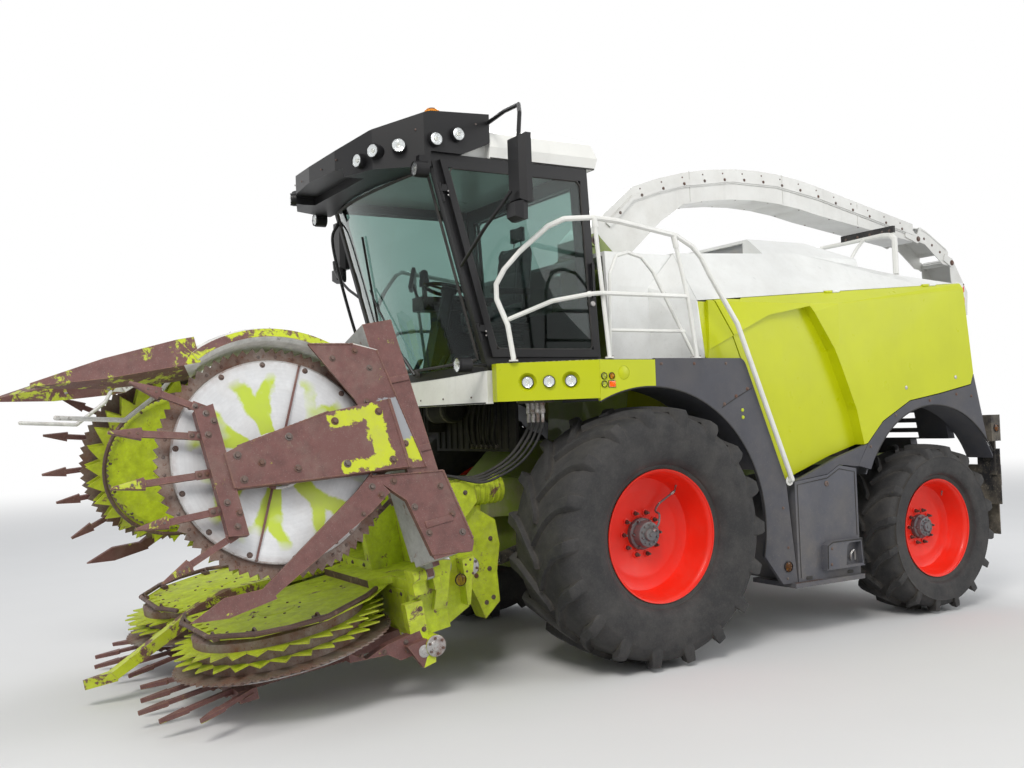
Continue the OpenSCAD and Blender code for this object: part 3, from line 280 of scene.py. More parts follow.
def rubber(name, base=(0.02, 0.02, 0.021)):
    s = Shader(name, 0.78)
    dust = s.ramp(s.noise(5, 10, 0.7), 0.4, 0.74)
    fine = s.ramp(s.noise(90, 5, 0.7), 0.5, 0.72)
    mask = s.mul(s.mad(fine, 0.5, dust, True), 0.42)
    col = s.mix(mask, base, (0.105, 0.098, 0.09))
    s.colour(s.mix(s.mul(s.crevice(0.05), 0.65), col, (0.13, 0.115, 0.095)))
    s.bump(s.mad(s.noise(8, 6), 0.6, s.noise(150, 4, 0.7)), 0.35, 0.0012)
    return s.mat


def worn_steel(name, base=(0.46, 0.45, 0.44), rust=0.45, rough=0.36, scratch=0.5):
    s = Shader(name, rough, metal=0.85)
    patches = s.ramp(s.noise(5.5, 10, 0.7), 0.62 - rust * 0.3, 0.74)
    spots = s.ramp(s.noise(60, 5, 0.7), 0.58, 0.66)
    mask = s.mul(s.mad(spots, 0.5, patches, True), min(1.0, rust * 2.2))
    marks = s.ramp(s.noise(2.0, 3, 0.5, s.stretched(6, 90, 90)), 0.45, 0.6)
    col = s.mix(s.mul(marks, scratch * 0.5), base, tone(base, 0.62))
    s.colour(s.mix(mask, col, RUST))
    s.roughness(s.mad(mask, 0.45, rough))
    s.put(s.b.inputs["Metallic"], s.ramp(mask, 0.0, 1.0, 0.85, 0.1))
    s.bump(s.mad(mask, 0.8, marks), 0.35, 0.0006)
    return s.mat


def tool_paint(name, under, over, cover, steel=0.25, rough=0.5, matrix=None, patches=()):
    """Cut steel of the header: a base coat, what is left of a second one, and bare scratched metal.

    A patch is a colour and a box in the matrix's own X and Y, with ragged borders."""
    s = Shader(name, rough)
    big = s.noise(6.5, 10, 0.72, distort=0.4)
    keep = s.ramp(big, 0.56 - cover * 0.25, 0.6 - cover * 0.25)
    drift = s.mix(s.ramp(s.noise(14, 8, 0.7), 0.3, 0.7), tone(under, 0.72), tone(under, 1.2))
    col = s.mix(keep, drift, s.mix(s.ramp(s.noise(20, 6), 0.3, 0.7), over, tone(over, 0.85)))
    lines = s.stretched(8, 70, 70)
    if patches:
        vec = s.local(matrix)
        ragged = s.mad(s.noise(13, 8, 0.75, vec), 0.16, -0.08)
        x, y = (s.math("ADD", s.axis(k, vec), ragged) for k in (0, 1))
        for tint, (x0, x1, y0, y1) in patches:
            inside = 1.0
            for v, lo, hi in ((x, x0, x1), (y, y0, y1)):
                inside = s.mul(inside, s.ramp(v, lo - 0.003, lo + 0.003))
                inside = s.mul(inside, s.ramp(v, hi + 0.003, hi - 0.003))
            col = s.mix(inside, col, tint)
    marks = s.mul(s.ramp(s.noise(2.2, 5, 0.6, lines), 0.6, 0.68), steel)
    col = s.mix(marks, col, (0.42, 0.4, 0.38))
    worn = s.mul(s.edge(0.008), s.ramp(s.noise(16, 8, 0.7), 0.4, 0.58))
    col = s.mix(worn, col, (0.3, 0.16, 0.09))
    dust = s.mul(s.ramp(s.noise(3.2, 9, 0.7), 0.5, 0.72), 0.3)
    s.colour(s.mix(dust, col, (0.26, 0.21, 0.17)))
    s.roughness(s.mad(keep, -0.12, s.ramp(s.noise(18, 6), 0.3, 0.7, rough, rough + 0.2)))
    s.bump(s.mad(keep, 0.9, s.noise(60, 6, 0.7)), 0.4, 0.0009)
    return s.mat


def dish(name, matrix):
    """Ground dish of a rotor: bright metal, green paint left in streaks, rust towards the rim."""
    s = Shader(name, 0.34, metal=0.25)
    vec = s.local(matrix)
    x, y = s.axis(0, vec), s.axis(1, vec)
    r = s.math("SQRT", s.math("ADD", s.mul(x, x), s.mul(y, y)))
    turn = s.math("DIVIDE", s.math("ARCTAN2", y, x), 2 * pi / 7)
    bent = s.math("ADD", turn, s.mad(s.noise(4.0, 5, 0.6, vec), 0.5, 0.3))
    across = s.math("ABSOLUTE", s.math("SUBTRACT", s.math("FRACT", bent), 0.5))
    off = s.math("ABSOLUTE", s.math("SUBTRACT", across, s.ramp(r, 0.27, 0.5, 0.0, 0.25)))
    over = s.math("SUBTRACT", off, s.ramp(r, 0.12, 0.52, 0.3, 0.05))
    kept = s.mul(s.ramp(s.noise(2.3, 3, 0.5, vec), 0.4, 0.48), s.ramp(r, 0.53, 0.47))
    green = s.mul(s.ramp(over, 0.035, -0.015), kept)
    rings = s.math("FRACT", s.mul(r, 42.0))
    base = s.mix(s.ramp(rings, 0.0, 1.0, 0.0, 0.25), (0.66, 0.67, 0.68), (0.54, 0.55, 0.56))
    base = s.mix(s.ramp(s.noise(9, 8, 0.7, vec), 0.45, 0.7, 0.0, 0.55), base, (0.82, 0.83, 0.84))
    col = s.mix(green, base, (0.5, 0.62, 0.06))
    rust = s.mul(s.ramp(s.noise(11, 9, 0.7, vec), 0.35, 0.62), s.ramp(r, 0.55, 0.66))
    col = s.mix(rust, col, (0.2, 0.085, 0.045))
    stain = s.mul(s.ramp(s.noise(2.4, 6, 0.6, vec), 0.5, 0.72), 0.35)
    s.colour(s.mix(stain, col, (0.33, 0.27, 0.22)))
    s.roughness(s.mad(rust, 0.3, s.ramp(s.noise(12, 6, 0.6, vec), 0.3, 0.7, 0.28, 0.46)))
    s.bump(s.mad(green, 0.6, rings), 0.12, 0.0005)
    return s.mat


def clear_glass(name, tint, rough=0.02):
    s = Shader(name, rough, spec=0.5)
    smear = s.ramp(s.noise(2.6, 6, 0.6), 0.4, 0.75, rough, rough + 0.015)
    s.colour(s.mix(s.ramp(s.noise(1.3, 3), 0.3, 0.7), tint, tuple(min(1.0, c * 1.06) for c in tint)))
    s.roughness(smear)
    s.b.inputs["Transmission Weight"].default_value = 1.0
    s.b.inputs["IOR"].default_value = 1.3
    return s.mat


def cloth(name, base):
    s = Shader(name, 0.9, sheen=0.4)
    weave = s.new("TexWave", Scale=240, Vector=s.vec)
    rows = s.new("Mapping", Rotation=(0, 0, pi / 2), Vector=s.vec)
    weft = s.new("TexWave", Scale=240, Vector=rows.outputs[0])
    cross = s.mul(weave.outputs["Fac"], weft.outputs["Fac"])
    col = s.mix(cross, tone(base, 0.6), tone(base, 1.5))
    s.colour(s.mix(s.mul(s.ramp(s.noise(9, 6), 0.5, 0.75), 0.35), col, (0.22, 0.2, 0.18)))
    s.bump(cross, 0.5, 0.0006)
    return s.mat


def mesh_sheet(name, base, pitch=95):
    """Woven wire over an opening; the gaps are painted near-black as the shade inside it."""
    s = Shader(name, 0.55, metal=0.3)
    wires = []
    for axis in (0, 1, 2):
        w = s.math("ABSOLUTE", s.math("SINE", s.mul(s.axis(axis), pitch * pi)))
        wires.append(s.ramp(w, 0.86, 0.94))
    grid = s.math("MAXIMUM", s.math("MAXIMUM", wires[0], wires[1]), wires[2])
    dusty = s.mix(s.ramp(s.noise(4, 8), 0.4, 0.7), base, (0.36, 0.33, 0.27))
    # near-black between the wires: painted shade of the opening behind them
    s.colour(s.mix(grid, (0.012, 0.012, 0.013), dusty))
    s.bump(grid, 0.6, 0.002)
    return s.mat


M = {
    "green": paint("body_green", (0.51, 0.56, 0.003), dirt=0.1, vary=0.04, coat=0.05, spec=0.32),
    "lid": paint("lid_green", (0.53, 0.575, 0.003), dirt=0.08, high=2.0, vary=0.03, coat=0.05, spec=0.32),
    "frame_green": paint("frame_green", (0.47, 0.54, 0.01), rough=0.42, dirt=0.45, edge=0.5, high=2.8),
    "dark": paint("chassis_green", (0.2, 0.27, 0.04), rough=0.5, dirt=0.9, high=2.8),
    "white": paint("white_panel", (0.8, 0.8, 0.76), dirt=0.3, high=3.6, vary=0.03),
    # chute white darkened towards the grey of its shaded side: painted shade over the whole chute
    "chute": paint("chute_white_painted_shade", (0.68, 0.68, 0.65), dirt=0.25, low=2.8, high=4.6, vary=0.04),
    "hood": paint("hood_white", (0.77, 0.78, 0.76), dirt=0.22, low=2.0, high=3.6, vary=0.04),
    "grey": moulded("fender_grey", (0.062, 0.063, 0.074), dirt=0.22),
    "box": moulded("box_grey", (0.082, 0.084, 0.098), dirt=0.34, high=1.5),
    "black": moulded("cab_black", (0.01, 0.01, 0.011), 0.4, dirt=0.03, strength=0.06),
    "deck": mesh_sheet("deck_grating", (0.1, 0.1, 0.11), pitch=32),
    # near-black for the parts under the cab: painted shade of that space
    "pit": moulded("painted_shade_black", (0.006, 0.006, 0.0065), 0.85, dirt=0.15, high=3.0),
    "under": moulded("dusty_black", (0.02, 0.02, 0.022), 0.7, dirt=1.0, high=3.0),
    "tyre": rubber("tyre_rubber"),
    "rubber": rubber("plain_rubber", (0.014, 0.014, 0.015)),
    "rim": paint("rim_red", (0.86, 0.024, 0.009), rough=0.36, dirt=0.1, low=0.0, high=2.2, coat=0.05,
        vary=0.05, spec=0.3),
    "hub": paint("hub_grey", (0.1, 0.105, 0.115), rough=0.45, dirt=0.5, low=0.0, high=2.0),
    "steel": worn_steel("plain_steel"),
    "rusty": worn_steel("rusty_steel", (0.3, 0.26, 0.23), rust=0.95, rough=0.5),
    "chrome": worn_steel("rod_chrome", (0.62, 0.62, 0.62), rust=0.05, rough=0.18, scratch=0.2),
    "brown": tool_paint("worn_brown", (0.145, 0.062, 0.055), (0.5, 0.58, 0.03), -0.35),
    "brown_green": tool_paint("brown_and_green", (0.145, 0.062, 0.055), (0.55, 0.64, 0.02), 0.35),
    "tool_green": tool_paint("tool_green", (0.5, 0.6, 0.02), (0.16, 0.075, 0.055), -0.15),
    "guard": tool_paint("guard_brown", (0.085, 0.045, 0.038), (0.2, 0.11, 0.08), 0.0, steel=0.1),
    "tool_grey": tool_paint("tool_grey", (0.36, 0.36, 0.35), (0.22, 0.13, 0.1), -0.1),
    "shield": tool_paint("shield_white", (0.7, 0.7, 0.67), (0.42, 0.4, 0.36), -0.15, steel=0.15, rough=0.4),
    "glass": clear_glass("green_glass", (0.38, 0.5, 0.47), 0.0),
    "lens": clear_glass("lamp_lens", (0.9, 0.92, 0.92), 0.06),
    "amber": clear_glass("amber_lens", (1.0, 0.34, 0.03), 0.1),
    "redlens": clear_glass("red_lens", (0.9, 0.03, 0.02), 0.1),
    "mirror": worn_steel("mirror_glass", (0.8, 0.82, 0.83), rust=0.0, rough=0.04, scratch=0.0),
    "bowl": worn_steel("lamp_bowl", (0.85, 0.85, 0.85), rust=0.0, rough=0.15, scratch=0.0),
    "seat": cloth("seat_cloth", (0.1, 0.1, 0.11)),
    "grille": mesh_sheet("intake_mesh", (0.3, 0.31, 0.32)),
    "nut": worn_steel("nut_steel", (0.16, 0.14, 0.13), rust=0.8, rough=0.5),
    "nose": tool_paint("nose_brown", (0.145, 0.062, 0.055), (0.5, 0.58, 0.03), 0.1),
    "screen_glass": moulded("screen_glass", (0.01, 0.011, 0.013), 0.12, dirt=0.08, strength=0.02),
    "stripe_red": paint("stripe_red", (0.7, 0.03, 0.02), dirt=0.25, low=2.6, high=4.0),
    "bulb": clear_glass("bulb_glass", (0.95, 0.93, 0.85), 0.12),
}
YELLOW, ZINC, BROWN = (0.52, 0.58, 0.02), (0.3, 0.31, 0.33), (0.145, 0.062, 0.055)
ARM_PATCHES = ((YELLOW, (1.9, 2.27, 0.3, 0.64)), (BROWN, (1.965, 2.185, 0.2, 0.52)))
PLATE_PATCHES = ((ZINC, (1.95, 2.3, 0.645, 0.84)), (YELLOW, (1.89, 2.02, 0.6, 0.84)),
    (BROWN, (1.6, 1.9, 0.5, 0.9)))
for _s, _n in SIDES:
    _m = on(WING, _s)
    M["arm_" + _n] = tool_paint("arm_" + _n, BROWN, YELLOW, -0.35, matrix=_m, patches=ARM_PATCHES)
    M["skid_" + _n] = tool_paint("skid_" + _n, BROWN, YELLOW, -0.35, matrix=_m, patches=PLATE_PATCHES)
    M["dish_centre_" + _n] = dish("dish_centre_" + _n, on(HEADER, _s) @ at(ROTOR_X[0], 0, 0))
    M["dish_wing_" + _n] = dish("dish_wing_" + _n, on(WING, _s) @ at(ROTOR_X[1], 0, 0))


def dress(node, *keys, rule=None):
    """Gives a CAD node its materials; rule picks one of them for each face from its centre and normal."""
    o = NODES[node]
    o.data.materials.clear()
    for k in keys:
        o.data.materials.append(M[k])
    for p in o.data.polygons:
        p.material_index = rule(p.center, p.normal) if rule else 0


def local_rule(matrix, fn):
    inv = matrix.inverted()
    turn = inv.to_3x3()
    return lambda c, n: fn(inv @ c, turn @ n)


for node, keys in {
    "chassis_frame": ["dark"], "front_axle": ["dark"], "rear_axle": ["under"], "knuckle_left": ["under"],
    "knuckle_right": ["under"], "engine_block": ["under"], "chopper_housing": ["dark"],
        "cover_fronts": ["green"],
    "side_cover_left": ["lid"], "side_cover_right": ["lid"], "platforms": ["deck"], "side_boxes": ["box"],
    "rear_arches": ["grey"], "handrails": ["white"], "cab_frame": ["black"], "cab_roof": ["white"],
    "lamp_visor": ["black"], "cab_glass": ["glass"], "door_frame": ["black"], "door_glass": ["glass"],
        "seat": ["seat"],
    "console": ["black"], "cab_front_panel": ["white"], "lamp_fascias": ["green"], "mirrors": ["black"],
    "turntable": ["dark"], "chute": ["chute"], "chute_flap": ["chute"], "chute_tip": ["chute"],
    "feed_housing": ["frame_green"], "header_dividers": ["brown_green"], "lift_barrels": ["under"],
    "lift_rods": ["chrome"], "rear_bumper": ["under"], "hood_rear": ["grey"], "front_fenders": ["grey"],
}.items():
    dress(node, *keys)

dress("hood_top", "hood", "grille", rule=lambda c, n: int(n.y < -0.9 and 1.09 < c.y < 1.18 and c.z > 3.05))
dress("chute_rest", "white", "rubber", rule=lambda c, n: int(c.z > 3.31))
dress("beacon", "black", "amber", rule=lambda c, n: int(c.z > 4.06))
for s, name in SIDES:
    for axle, (_, wy, wz, *_, grey) in WHEELS.items():
        def rim_rule(c, n, wy=wy, wz=wz, grey=grey):
            return int(hypot(c.y - FY - wy, c.z - wz) < grey)
        dress(f"{axle}_rim_{name}", "rim", "hub", rule=rim_rule)
        dress(f"{axle}_tyre_{name}", "tyre")
    wing = on(WING, s)
    head = on(HEADER, s)

    def wing_rule(c, n):
        if c.z < -0.24:
            return 3
        if n.z < -0.7 and c.z < -0.21:
            return 4
        if n.z < -0.7 or c.y < 0.3 or c.z < -0.16:
            return 0
        return 2 if c.y > 0.66 and n.z < 0.7 else 1

    def shield_rule(c, n):
        if c.y < -0.36:
            return 2 if c.x > 2.72 and c.z < 0.125 else 0
        return int(n.z < -0.7)
    dress("wing_frame_" + name, "brown", "tool_green", "tool_grey", "arm_" + name, "skid_" + name,
          rule=local_rule(wing, wing_rule))
    dress("wing_shield_" + name, "shield", "brown_green", "nose",
          rule=local_rule(wing, shield_rule))
    for kind, frm, x in (("centre", head, ROTOR_X[0]), ("wing", wing, ROTOR_X[1])):
        def rotor_rule(c, n, x=x):
            r = hypot(c.x - x, c.y)
            if c.z < -0.0795 and r < 0.6:
                return 0
            if c.z < -0.06:
                return 1
            return 2 if r > 0.54 or (x > 2 and c.z > 0.125) else 3
        dress(f"{kind}_rotor_{name}", f"dish_{kind}_{name}", "rusty", "tool_green", "rusty",
              rule=local_rule(frm, rotor_rule))


def header_rule(c, n):
    if c.z < -0.1 and (n.z < -0.7 or c.y < 0.68):
        return 1
    if 0.156 < c.z < 0.2 and c.y < 0.56:
        return 2
    return 0


dress("header_frame", "tool_green", "brown", "guard", rule=local_rule(HEADER, header_rule))

# Camera, floor and light
yaw, pitch, roll = radians(59.1), radians(1.98), radians(-2.04)
fwd = Vector((-sin(yaw) * cos(pitch), cos(yaw) * cos(pitch), sin(pitch)))
right = Vector((cos(yaw), sin(yaw), 0))
up = right.cross(fwd)
right, up = (cos(roll) * right + sin(roll) * up, -sin(roll) * right + cos(roll) * up)
cam_data = bpy.data.cameras.new("camera")
cam_data.lens = 37.05
cam_data.sensor_width = 36
cam_data.clip_end = 400
cam = new_object("camera", cam_data)
place = Matrix((right, up, -fwd)).transposed().to_4x4()
place.translation = Vector((7.21, -4.59 + FY, 1.73))
cam.matrix_world = place
bpy.context.scene.camera = cam


def link(name, bm, mat, body=None, smooth=40):
    """Turns a bmesh into a piece that rides on a body."""
    me = bpy.data.meshes.new(name)
    bmesh.ops.recalc_face_normals(bm, faces=bm.faces)
    bm.to_mesh(me)
    bm.free()
    o = new_object(name, me)
    for m in (mat if isinstance(mat, (list, tuple)) else [mat]):
        me.materials.append(M[m] if isinstance(m, str) else m)
    if smooth is not None:
        for p in me.polygons:
            p.use_smooth = True
        me.set_sharp_from_angle(angle=radians(smooth))
    if body:
        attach(o, body)
    return o


def seen_ray(tree):
    """1 on rays from the camera, and on those that metal and glass send on."""
    light = tree.nodes.new("ShaderNodeLightPath")
    total = None
    for kind in ("Is Camera Ray", "Is Glossy Ray", "Is Transmission Ray"):
        if total is None:
            total = light.outputs[kind]
            continue
        most = tree.nodes.new("ShaderNodeMath")
        most.operation = "MAXIMUM"
        tree.links.new(total, most.inputs[0])
        tree.links.new(light.outputs[kind], most.inputs[1])
        total = most.outputs[0]
    return total


def stage_material(name, col):
    """Pale floor that keeps shadows near the machine and turns white far away."""
    s = Shader(name, 0.85)
    s.colour(s.mix(s.noise(1.5, 2.0, 0.5), tone(col, 0.97), col))
    length = s.new("VectorMath")
    length.operation = "LENGTH"
    s.nt.links.new(s.vec, length.inputs[0])
    fade = s.new("MapRange", Value=length.outputs["Value"], From_Min=FLOOR_NEAR, From_Max=FLOOR_FAR)
    fade.interpolation_type = "SMOOTHSTEP"
    far = s.mul(fade.outputs["Result"], seen_ray(s.nt))
    mix = s.new("MixShader")
    for k, v in enumerate((far, s.b.outputs[0], s.new("Emission").outputs[0])):
        s.nt.links.new(v, mix.inputs[k])
    s.nt.links.new(mix.outputs[0], s.nt.nodes["Material Output"].inputs["Surface"])
    return s.mat


# Shapes
def catmull(points, n):
    """A smooth line through the points, n steps between each pair."""
    p = [Vector(q) for q in points]
    p = [2 * p[0] - p[1]] + p + [2 * p[-1] - p[-2]]
    out = []
    for i in range(1, len(p) - 2):
        for k in range(n):
            t = k / n
            out.append(0.5 * (2 * p[i] + (p[i + 1] - p[i - 1]) * t
                              + (2 * p[i - 1] - 5 * p[i] + 4 * p[i + 1] - p[i + 2]) * t * t
                              + (3 * p[i] - p[i - 1] - 3 * p[i + 1] + p[i + 2]) * t ** 3))
    return out + [p[-2]]


def spin(bm, profile, place=Matrix(), seg=40, mat=0):
    """A turned shape: profile pairs are radius and height along the place's Z axis."""
    rings = []
    for r, z in profile:
        count = seg if r > 1e-6 else 1
        rings.append([bm.verts.new(place @ Vector((r * cos(2 * pi * i / seg), r * sin(2 * pi * i / seg),
            z))) for i in range(count)])
    for a, b in zip(rings, rings[1:]):
        for i in range(seg):
            j = (i + 1) % seg
            if len(a) == 1 and len(b) == 1:
                continue
            if len(a) == 1:
                f = bm.faces.new((a[0], b[j], b[i]))
            elif len(b) == 1:
                f = bm.faces.new((a[i], a[j], b[0]))
            else:
                f = bm.faces.new((a[i], a[j], b[j], b[i]))
            f.material_index = mat


def sweep(bm, points, radius, seg=10, mat=0):
    """A tube along the points; radius may be a list."""
    pts = [Vector(p) for p in points]
    ref = (pts[1] - pts[0]).orthogonal().normalized()
    rings = []
    for i, p in enumerate(pts):
        t = (pts[min(i + 1, len(pts) - 1)] - pts[max(i - 1, 0)]).normalized()
        ref = (ref - t * ref.dot(t)).normalized()
        side = t.cross(ref)
        r = radius[i] if isinstance(radius, (list, tuple)) else radius
        rings.append([bm.verts.new(p + (ref * cos(2 * pi * k / seg) + side * sin(2 * pi * k / seg)) * r)
                      for k in range(seg)])
    for a, b in zip(rings, rings[1:]):
        for k in range(seg):
            bm.faces.new((a[k], a[(k + 1) % seg], b[(k + 1) % seg], b[k])).material_index = mat
    for ring in (rings[0][::-1], rings[-1]):
        bm.faces.new(ring).material_index = mat


def plate(bm, outline, z0, z1, place=Matrix(), bevel=0.002, mat=0):
    """An extruded outline with eased edges."""
    part = bmesh.new()
    low = [part.verts.new((x, y, z0)) for x, y in outline]
    top = [part.verts.new((x, y, z1)) for x, y in outline]
    part.faces.new(low[::-1])
    part.faces.new(top)
    n = len(outline)
    for i in range(n):
        part.faces.new((low[i], low[(i + 1) % n], top[(i + 1) % n], top[i]))
    if bevel:
        bmesh.ops.bevel(part, geom=part.edges[:], offset=bevel, segments=2, affect="EDGES", profile=0.5)
    join(bm, part, place, mat)


def beam(bm, lo, hi, place=Matrix(), bevel=0.004, mat=0):
    plate(bm, [(lo[0], lo[1]), (hi[0], lo[1]), (hi[0], hi[1]), (lo[0], hi[1])], lo[2], hi[2], place, bevel,
        mat)


def join(bm, part, place, mat):
    for f in part.faces:
        f.material_index = mat
    me = bpy.data.meshes.new("part")
    bmesh.ops.recalc_face_normals(part, faces=part.faces)
    part.to_mesh(me)
    part.free()
    me.transform(place)
    bm.from_mesh(me)
    bpy.data.meshes.remove(me)


def screw(bm, place, r=0.01, h=0.008, mat=0, washer=True):
    """Hexagon head on its washer."""
    if washer:
        spin(bm, [(r * 1.55, 0), (r * 1.55, h * 0.25), (r * 1.35, h * 0.35), (r, h * 0.35)], place, 14, mat)
    turn = place @ Matrix.Rotation(RND.uniform(0, 1), 4, "Z")
    spin(bm, [(r, h * 0.2), (r, h), (r * 0.8, h * 1.2), (0, h * 1.2)], turn, 6, mat)


def screws(bm, place, points, z, r, h, mat=1):
    """Screws whose heads look down from the frame's height z."""
    for x, y in points:
        screw(bm, flat(place, x, y, z), r, h, mat)


def screw_ring(bm, place, n, radius, z, r, h, first=0.0, down=False):
    for i in range(n):
        a = 2 * pi * (i + first) / n
        screw(bm, flat(place, radius * cos(a), radius * sin(a), z, down), r, h, 1)


def rivet(bm, place, r=0.008, h=0.004, mat=0):
    spin(bm, [(r * 1.1, -0.001), (r, h * 0.5), (r * 0.6, h * 0.95), (0, h)], place, 12, mat)


# Tyres and rims
def tyre(name, s, body, node, centre, r, w, rim_r, lugs):
    """Carcass with moulded rings, and curved bars that run over the shoulder."""
    h, tread = w / 2, r - 0.045
    belly = rim_r + (r - rim_r) * 0.45
    half = [(rim_r - 0.014, h * 0.7), (rim_r + 0.004, h * 0.725), (rim_r + 0.02, h * 0.76),
        (rim_r + 0.034, h * 0.775), (rim_r + 0.042, h * 0.825), (rim_r * 0.55 + belly * 0.45, h * 0.925),
        (belly, h * 0.985), (belly * 0.55 + tread * 0.45, h * 0.993), (tread - 0.075, h * 0.965),
        (tread - 0.035, h * 0.89), (tread - 0.012, h * 0.78), (tread, h * 0.6), (tread + 0.003, h * 0.3),
        (tread + 0.004, 0)]
    line = [(v.x, v.y) for v in catmull([(a, b, 0) for a, b in half], 4)]
    line = [(a, b + 0.0035 * (abs(a - belly - 0.055) < 0.006) + 0.003 * (abs(a - belly + 0.06) < 0.005))
        for a, b in line]
    profile = line + [(a, -b) for a, b in reversed(line[:-1])]
    place = facing(centre, (s, 0, 0))
    bm = bmesh.new()
    spin(bm, profile, place, 112)
    reach = w * 0.62 * 0.62          # half of what a lug runs round the tyre
    for side in (1, -1):
        for i in range(lugs):
            a0 = 2 * pi * (i + (0 if side > 0 else 0.5)) / lugs
            stations = []
            for k in range(8):
                t = k / 7
                x = -0.012 * w + t * (0.8 * h + 0.012 * w)
                arc = reach * (0.5 - (1 - t) ** 1.5)
                crown = 0.003 + 0.01 * t ** 3
                stations.append((x, r - crown, x, tread - 0.004, arc, 0.04 * w + 0.012 * w * t))
            end = stations[-1][4]
            stations += [(0.95 * h, r - 0.02, 0.93 * h, tread - 0.06, end + 0.022, 0.055 * w),
                         (0.992 * h, r - 0.052, 0.955 * h, tread - 0.085, end + 0.032, 0.056 * w),
                         (0.999 * h, r - 0.1, 0.972 * h, tread - 0.11, end + 0.036, 0.054 * w),
                         (0.99 * h, r - 0.16, 0.98 * h, tread - 0.13, end + 0.038, 0.05 * w)]
            rings = []
            for xt, rt, xb, rb, arc, hw in stations:
                ring = []
                for off, up in ((-1.45, 0.0), (-1.05, 0.86), (-0.86, 1.0), (0.86, 1.0), (1.05, 0.86),
                        (1.45, 0.0)):
                    rr = rb + (rt - rb) * up
                    xx = xb + (xt - xb) * up
                    a = a0 + (arc + off * hw) / r
                    ring.append(bm.verts.new(Vector(centre) + Vector((s * side * xx, rr * sin(a),
                        rr * cos(a)))))
                rings.append(ring)
            for p, q in zip(rings, rings[1:]):
                for k in range(5):
                    bm.faces.new((p[k], p[k + 1], q[k + 1], q[k]))
            bm.faces.new(rings[0][::-1])
            bm.faces.new(rings[-1])
    o = link(name, bm, "tyre", body, 38)
    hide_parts(node)
    return o


def rim(name, s, body, node, centre, r, w, disc, hub, front):
    """Rolled lip, stepped barrel, dished disc, hub with its nuts, and the valve."""
    h = w * 0.36
    place = facing(centre, (s, 0, 0))
    bm = bmesh.new()
    step = (h - disc) / 3
    front_side = [(hub * 0.9, disc - 0.006), (hub + 0.03, disc), (r - 0.185, disc + 0.001),
        (r - 0.165, disc + 0.01), (r - 0.14, disc + 0.012), (r - 0.085, disc + 0.014),
        (r - 0.062, disc + 0.026), (r - 0.052, disc + 0.05), (r - 0.05, disc + step),
        (r - 0.04, disc + step + 0.016), (r - 0.04, disc + 2 * step), (r - 0.031, disc + 2 * step + 0.014),
        (r - 0.03, h - 0.03), (r - 0.02, h - 0.008), (r - 0.008, h + 0.003), (r - 0.001, h + 0.006),
        (r + 0.003, h + 0.011), (r + 0.001, h + 0.016), (r - 0.006, h + 0.014)]
    back = [(r - 0.002, h - 0.004), (r - 0.022, h - 0.03), (r - 0.022, -h + 0.03), (r, -h),
        (r + 0.002, -h - 0.01), (r - 0.006, -h - 0.013), (r - 0.03, -h), (r - 0.036, -h + 0.03),
        (r - 0.036, disc - 0.06), (r - 0.062, disc - 0.016), (hub * 0.9, disc - 0.016),
        (hub * 0.9, disc - 0.006)]
    spin(bm, front_side + back, place, 96)
    # hub, cap and drive cover
    top = disc + (0.105 if front else 0.075)
    spin(bm, [(hub, disc - 0.014), (hub, disc + 0.03), (hub - 0.006, disc + 0.036),
        (hub * 0.86, disc + 0.04), (hub * 0.82, top - 0.012), (hub * 0.78, top - 0.003), (hub * 0.7, top),
        (hub * 0.42, top), (hub * 0.4, top + 0.012), (hub * 0.36, top + 0.018), (hub * 0.14, top + 0.018),
        (hub * 0.12, top + 0.024), (0, top + 0.024)], place, 64, 1)
    for i in range(10):
        turn = place @ around(i + 0.5, 10)
        screw(bm, turn @ at(hub * 0.6, 0, top), 0.008, 0.009, 1, False)
    for i in range(6):
        turn = place @ around(i, 6)
        beam(bm, (hub * 0.8, -0.006, disc + 0.034), (hub * 0.95, 0.006, disc + 0.06), turn, 0.002, 1)
    for i in range(WHEEL_BOLTS):
        turn = place @ around(i, WHEEL_BOLTS)
        spot = turn @ at(hub + 0.04, 0, disc)
        spin(bm, [(0.026, -0.002), (0.025, 0.006), (0.018, 0.008)], spot, 18, 0)
        screw(bm, spot @ at(0, 0, 0.006), 0.015, 0.018, 2, False)
        spin(bm, [(0.0085, 0.02), (0.0085, 0.044), (0.007, 0.047), (0, 0.047)], spot, 12, 2)
    # valve
    turn = place @ Matrix.Rotation(0.9, 4, "Z")
    sweep(bm, [turn @ Vector((r - 0.04, 0, h * 0.45)), turn @ Vector((r - 0.06, 0, h * 0.47)),
               turn @ Vector((r - 0.082, 0, h * 0.52))], [0.009, 0.006, 0.005], 10, 3)
    if front:
        # inflation line from the hub to the rim
        loop = catmull([turn @ Vector(p) for p in ((hub * 0.3, 0.0, top + 0.018),
            (hub * 0.75, 0.01, top + 0.045), (hub + 0.045, 0.02, top + 0.012),
            (hub + 0.07, 0.02, disc + 0.055), (hub + 0.135, 0.012, disc + 0.04),
            (r - 0.13, 0.0, disc + 0.08), (r - 0.082, 0, h * 0.52))], 6)
        sweep(bm, loop, 0.0075, 10, 1)
        sweep(bm, loop[-5:-1], 0.012, 10, 3)
        sweep(bm, loop[:3], 0.013, 10, 3)
    o = link(name, bm, ["rim", "hub", "nut", "steel"], body, 35)
    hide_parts(node)
    return o


for s, side in SIDES:
    for axle, (x, y, r, width, rim_r, lugs, disc, hub, _) in WHEELS.items():
        ends = s, f"{axle}_wheel_{side}"
        tyre(f"tyre_{axle}_{side}", *ends, f"{axle}_tyre_{side}", pt(s * x, y, r), r, width, rim_r, lugs)
        rim(f"rim_{axle}_{side}", *ends, f"{axle}_rim_{side}", pt(s * x, y, r), rim_r, width, disc, hub,
            axle == "front")


